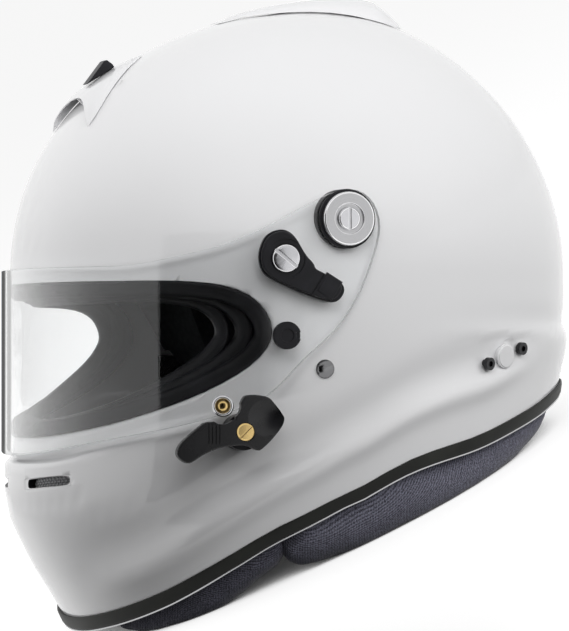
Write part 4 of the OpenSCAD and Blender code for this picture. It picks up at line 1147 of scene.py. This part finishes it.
# %% [markdown]
# ## Woven wire behind the chin vents
# Each chin slot is closed from inside by a plain-woven wire mesh. Every wire passes over and
# under its neighbours, so it is a thin tube along a gentle wave. Blender's curves make such a
# tube from a row of points and a radius, which is lighter to write than sweeping a circle. The
# mesh follows the shell: its points are found by walking in to the surface from the front.

# %% Find the chin's face
VENT_X, VENT_Z, VENT_SLOPE = 34.5, -137.2, tan(radians(4))
VENT_HALF, VENT_RISE = 22.0, 4.6


def chin_face(x, z, depth):
    """A place at a depth behind the chin's outer surface, in worn millimetres."""
    ahead, behind = -175.0, -90.0
    for _ in range(26):
        middle = (ahead + behind) / 2
        ahead, behind = (middle, behind) if shell_level(x, middle, z) > 0 else (ahead, middle)
    p = Vector((x, ahead, z))
    return p - onto_shell(p)[1] * depth


def beside_vent(side, u, v, depth):
    """A place by its distances from the middle of a chin vent, along and up."""
    return chin_face(side * (VENT_X + u), VENT_Z + v + VENT_SLOPE * u, depth)


print("middle of the left vent:", [round(c, 1) for c in beside_vent(1, 0, 0, 0)])


# %% Lay wires as curves
def tube_curve(radius_mm):
    """An empty curve that is drawn as a round tube."""
    curve = bpy.data.curves.new("wires", "CURVE")
    curve.dimensions = "3D"
    curve.bevel_depth = radius_mm * MM
    curve.bevel_resolution = 1
    curve.use_fill_caps = True
    return curve


def lay(curve, path):
    """One more run of a curve, along worn millimetres."""
    run = curve.splines.new("POLY")
    run.points.add(len(path) - 1)
    for point, place in zip(run.points, path):
        point.co = (*(worn @ (Vector(place) * MM)), 1)


# %% Weave the vent mesh
WIRE_PITCH, WIRE_R, WIRE_WAVE = 1.5, 0.24, 0.25
MESH_DEPTH, WAVE_STEPS = 5.0, 4


def weave_mesh():
    """Wires along and across both vents, each over and under the next."""
    wires = tube_curve(WIRE_R)
    rows, columns = int(VENT_RISE / WIRE_PITCH), int(VENT_HALF / WIRE_PITCH)
    for side in (-1, 1):
        for lying, count, run in ((True, rows, columns), (False, columns, rows)):
            for i in range(-count, count + 1):
                path = []
                for j in range(-run * WAVE_STEPS - 2, run * WAVE_STEPS + 3):
                    u, v = j * WIRE_PITCH / WAVE_STEPS, i * WIRE_PITCH
                    lift = WIRE_WAVE * cos(pi * (j / WAVE_STEPS + i))
                    if not lying:
                        u, v, lift = v, u, -lift
                    path.append(beside_vent(side, u, v, MESH_DEPTH - lift))
                lay(wires, path)
    form = form_of(result_of(linked("holder", wires)))
    close_piece(form, "vent_mesh", wire_steel, "chin_vent_grilles", 60)


weave_mesh()

# %% [markdown]
# A thin carrier lines each chin slot and holds the mesh. Its painted face rounds the ends of the
# opening and its walls are black. The outer edge follows the square hole and the inner edge is a
# long oval, so it is made of rings of corners, bridged one to the next.

# %% Line the chin slots
SLOT_HALF, SLOT_RISE, CARRIER = 20.5, 2.85, 0.1
OVAL_IN, OVAL_DROP, OVAL_SHIFT = 2.1, 0.2, 1.7
WALL_FRONT, WALL_BACK, RING_CORNERS = 0.15, 4.4, 64


def slot_ring(form, side, half, rise, depth, square, shift):
    """A closed ring of corners and edges round a chin slot at a depth, square or with round ends."""
    ring = []
    for k in range(RING_CORNERS):
        along, up_way = cos(2 * pi * k / RING_CORNERS), sin(2 * pi * k / RING_CORNERS)
        if square:
            big = max(abs(along), abs(up_way))
            u, v = half * along / big, rise * up_way / big
        else:
            u, v = (half - rise) * max(-1.0, min(1.0, 3 * along)) + rise * along, rise * up_way
        ring.append(form.verts.new(worn @ (beside_vent(side, u + shift, v, depth) * MM)))
    return [form.edges.new(ends) for ends in zip(ring, ring[1:] + ring[:1])]


def line_slots():
    """A carrier in each slot: black walls, and a painted face that rounds the opening's ends."""
    form = bmesh.new()
    hole = (SLOT_HALF - CARRIER, SLOT_RISE - CARRIER)
    oval = (hole[0] - OVAL_IN, hole[1] - OVAL_DROP)
    for side in (-1, 1):
        rings = [
            slot_ring(form, side, *hole, WALL_BACK, True, 0),
            slot_ring(form, side, *hole, WALL_FRONT, True, 0),
            slot_ring(form, side, *oval, WALL_FRONT + 0.05, False, OVAL_SHIFT),
            slot_ring(form, side, *oval, WALL_BACK, False, OVAL_SHIFT),
        ]
        for k, (a, b) in enumerate(zip(rings, rings[1:] + rings[:1])):
            for face in bmesh.ops.bridge_loops(form, edges=a + b)["faces"]:
                face.material_index = 1 if k == 1 else 0
    bmesh.ops.recalc_face_normals(form, faces=form.faces)
    carriers = add_piece(form, "vent_carriers", black_moulding, "chin_vent_grilles", 0)
    carriers.data.materials.append(white_gelcoat.material)


line_slots()

# %% [markdown]
# ## The thin bright line under the trim
# A narrow polished steel tube runs along the trim's lower edge and draws a line of light below the dark
# rubber: a painted highlight, standing in for the shine on the rubber's rounded lower edge. It is one closed
# tube that follows the trim round the whole neck opening.

# %% Run the lip round the trim
LIP_R, LIP_DROP, LIP_OFF = 0.55, 7.3, 1.0


def run_highlight_lip():
    """One closed tube below the trim."""
    # This steel tube stands in for a highlight on the rubber's rounded lower edge.
    lip = tube_curve(LIP_R)
    turns = [3 * k for k in range(120)]
    lay(lip, [shell_point(a, through(edge_line, min(a, 360 - a)) - LIP_DROP, LIP_OFF) for a in turns])
    lip.splines[0].use_cyclic_u = True
    add_piece(form_of(result_of(linked("holder", lip))), "trim_highlight_lip", steel_parts, "shell_trim")


run_highlight_lip()

# %% [markdown]
# ## Chin straps
# The straps are 25 mm webbing, riveted inside the shell and led down past the cheek pads. Each is
# a flat grid bent along the route that its rigid stand-in takes, thickened by a Solidify
# modifier, with a UV map that counts real metres along and across so that the weave keeps its
# scale round every bend. The left strap turns back on itself to hold two rings.

# %% Measure the strap's run
RIVET = Vector((120.648, -9.895, -77.9))
OUT = Vector((0.995608, -0.0878308, -0.0324069))
STRAP_WIDTH, STRAP_THICK, STRAP_ACROSS = 25.0, 1.6, 6
strap_run = [
    (-5.2, 9), (-5.2, -30), (-9.5, -36.5), (-22, -38.5), (-36, -38), (-43, -43), (-45, -52), (-45, -74)
]
rivet_place = on_side(RIVET, atan2(OUT.y, OUT.x), -asin(OUT.z))


def rounded_run(run, step=2.0):
    """The middle line of the webbing, its corners rounded and its steps even."""
    middle = [Vector(p) - Vector((STRAP_THICK / 2, 0)) for p in run]
    fine = []
    for a, b in zip(middle, middle[1:]):
        count = max(1, round((b - a).length / step))
        fine += [a.lerp(b, k / count) for k in range(count)]
    fine.append(middle[-1])
    for _ in range(3):
        fine = [fine[0]] + [(a + 2 * b + c) / 4 for a, b, c in zip(fine, fine[1:], fine[2:])] + [fine[-1]]
    return fine


middle_line = rounded_run(strap_run)
print("run in mm:", round(sum((b - a).length for a, b in zip(middle_line, middle_line[1:])), 1))


# %% Lead the straps
LOOP_DEEP, LOOP_LOW, LOOP_R = -45.8, -79.0, 3.6
DRAWN_SHARE = 0.96


def lead_strap(name, node, mirror, looped):
    """A strap from its rivet down past the pads, with a loop for the rings where it has one."""
    line = rounded_run(strap_run)
    if looped:
        r = LOOP_R + STRAP_THICK / 2
        turns = [radians(90 - 15 * k) for k in range(1, 24)]
        line += [Vector((LOOP_DEEP + r * cos(t), LOOP_LOW + r * sin(t))) for t in turns]
    form = bmesh.new()
    bmesh.ops.create_grid(form, x_segments=STRAP_ACROSS, y_segments=len(line) - 1, size=0.5)
    uv = form.loops.layers.uv.new("run")
    travelled = [0.0]
    for a, b in zip(line, line[1:]):
        travelled.append(travelled[-1] + (b - a).length)
    places = {}
    for vert in form.verts:
        u, v = vert.co.x + 0.5, round((vert.co.y + 0.5) * (len(line) - 1))
        places[vert] = (u * STRAP_WIDTH, travelled[v])
        p = rivet_place @ Vector(((u - 0.5) * STRAP_WIDTH, line[v].y, line[v].x))
        vert.co = worn @ (Vector((-p.x if mirror else p.x, p.y, p.z)) * MM)
    for corner in (corner for face in form.faces for corner in face.loops):
        width, length = places[corner.vert]
        corner[uv].uv = (width * MM, length * MM)
    bmesh.ops.recalc_face_normals(form, faces=form.faces)
    strap = close_piece(form, name, black_webbing, node, 60)
    thick = strap.modifiers.new("thick", "SOLIDIFY")
    thick.thickness = STRAP_THICK * MM * DRAWN_SHARE
    thick.offset = 0


lead_strap("webbing_left", "chin_strap_left", False, True)
lead_strap("webbing_right", "chin_strap_right", True, False)

# %% [markdown]
# ## Studio
# The photograph is a white packshot: soft light from all round, and a darker card low in front
# that draws a grey gradient across the chin. The backdrop shows as white only to the camera, to
# mirrors and through the visor, so its brightness never depends on how much light falls on it.
# The floor's glow is dimmed by an ambient occlusion value, a painted shadow where the helmet closes it off
# from the sky, or a look in at the eyeport would end on a shining floor.


# %% Set up floor and sky
FILL = 0.36
SHADOW_FLOOR = 0.78


def stage_plane(name, size, place=None):
    """A square plane for the studio, not attached to any of the helmet's bodies."""
    form = bmesh.new()
    bmesh.ops.create_grid(form, x_segments=1, y_segments=1, size=size, matrix=place or Matrix())
    plane = linked(name, mesh_of(form, name))
    return plane


world = bpy.data.worlds.new("studio")
sky = Graph(world)
sky.close(sky.node("Background", {}, {0: (1, 1, 1, 1), 1: FILL + (1 - FILL) * sky.seen()}))
scene.world = world

paper = bpy.data.materials.new("white paper")
sheet = Graph(paper)
dark = sheet.node("BsdfDiffuse", {}, {0: (0.07, 0.07, 0.07, 1)})
pale = sheet.node("BsdfDiffuse", {}, {0: (0.4, 0.4, 0.4, 1)})
# The glow is dimmed where the ambient occlusion is low: a painted shadow under and inside the helmet.
open_sky = sheet.node("AmbientOcclusion", {"samples": 8}, {"Distance": 0.3}, "AO")
glow = sheet.node("Emission", {}, {0: (1, 1, 1, 1), 1: SHADOW_FLOOR * open_sky.ramp(0.02, 0.2)})
lit = sheet.node("AddShader", {}, {0: pale, 1: glow})
sheet.close(sheet.node("MixShader", {}, {0: sheet.seen(), 1: dark, 2: lit}))
floor = stage_plane("floor", 40)
floor.data.materials.append(paper)
print("sky fill", FILL)


# %% [markdown]
# Five wide area lamps stand in a ring about the helmet, all at the same lift, and together they
# act as one large soft source that is stronger on some sides. Mirrors don't see them, because the
# white backdrop is what a packshot shows in its metal. Their powers were balanced until the
# shell's light and dark sides agreed with the photograph.

# %% Hang the lamps
LAMP_LIFT, LAMP_REACH, LAMP_SIZE = radians(20), 1.6, 1.2
LAMP_AIM = at(0, 0, -40)


def panel(name, turn, power):
    """A square soft lamp, turned from the front towards the camera's side."""
    data = bpy.data.lights.new(name, "AREA")
    data.energy, data.size = power, LAMP_SIZE
    a, e = radians(turn), LAMP_LIFT
    way = worn.to_3x3() @ Vector((sin(a) * cos(e), -cos(a) * cos(e), sin(e)))
    aimed = way.to_track_quat("Z", "Y").to_matrix().to_4x4()
    lamp = linked(name, data)
    lamp.matrix_world = Matrix.Translation(LAMP_AIM + way * LAMP_REACH) @ aimed
    lamp.visible_glossy = False


for name, turn, power in [
    ("side", 70, 14.5), ("front side", 10, 2.5), ("far front", -40, 8.6), ("rear side", 130, 11.5),
    ("rear", 180, 5),
]:
    panel(name, turn, power)

# %% [markdown]
# A black flag stands before the lower half on the camera's side, out of the picture. It keeps
# light off the underside, which gives the shell its depth, and polished metal gets something
# dark to reflect. Its felt thins out towards one end, so that its shadow has no edge there.

# %% Stand the flag
FLAG_LEFT, FLAG_RIGHT, FLAG_HEIGHT, FLAG_TOP, FLAG_REACH = -184, 250, 420, 90, 470
FLAG_FADE, FLAG_TURN = 110, radians(62)

foot = Vector((sin(FLAG_TURN) * FLAG_REACH, -cos(FLAG_TURN) * FLAG_REACH, FLAG_TOP - FLAG_HEIGHT / 2))
stood = Matrix.Rotation(FLAG_TURN, 4, "Z") @ Matrix.Rotation(pi / 2, 4, "X")
halves = ((FLAG_RIGHT - FLAG_LEFT) / 2 * MM, FLAG_HEIGHT / 2 * MM, 1, 1)
shift = Matrix.Translation(((FLAG_LEFT + FLAG_RIGHT) / 2 * MM, 0, 0))
flag_place = worn @ Matrix.Translation(foot * MM) @ stood @ shift @ Matrix.Diagonal(halves)
flag = stage_plane("flag", 1, flag_place)
flag.visible_camera = False

felt = bpy.data.materials.new("black felt")
cloth = Graph(felt)
along = flag_place.to_3x3().col[0].normalized()
spot = cloth.node("TexCoord", {}, {}, "Object")
across = cloth.node("VectorMath", {"operation": "DOT_PRODUCT"}, {0: spot, 1: tuple(along)}, 1)
far_end = (flag_place @ Vector((1, 0, 0))).dot(along)
thin = across.ramp(far_end - FLAG_FADE * MM, far_end)
black = cloth.node("BsdfDiffuse", {}, {0: (0.012, 0.012, 0.012, 1)})
cloth.close(cloth.node("MixShader", {}, {0: thin, 1: black, 2: cloth.node("BsdfTransparent")}))
flag.data.materials.append(felt)
scene.view_settings.view_transform = "Standard"
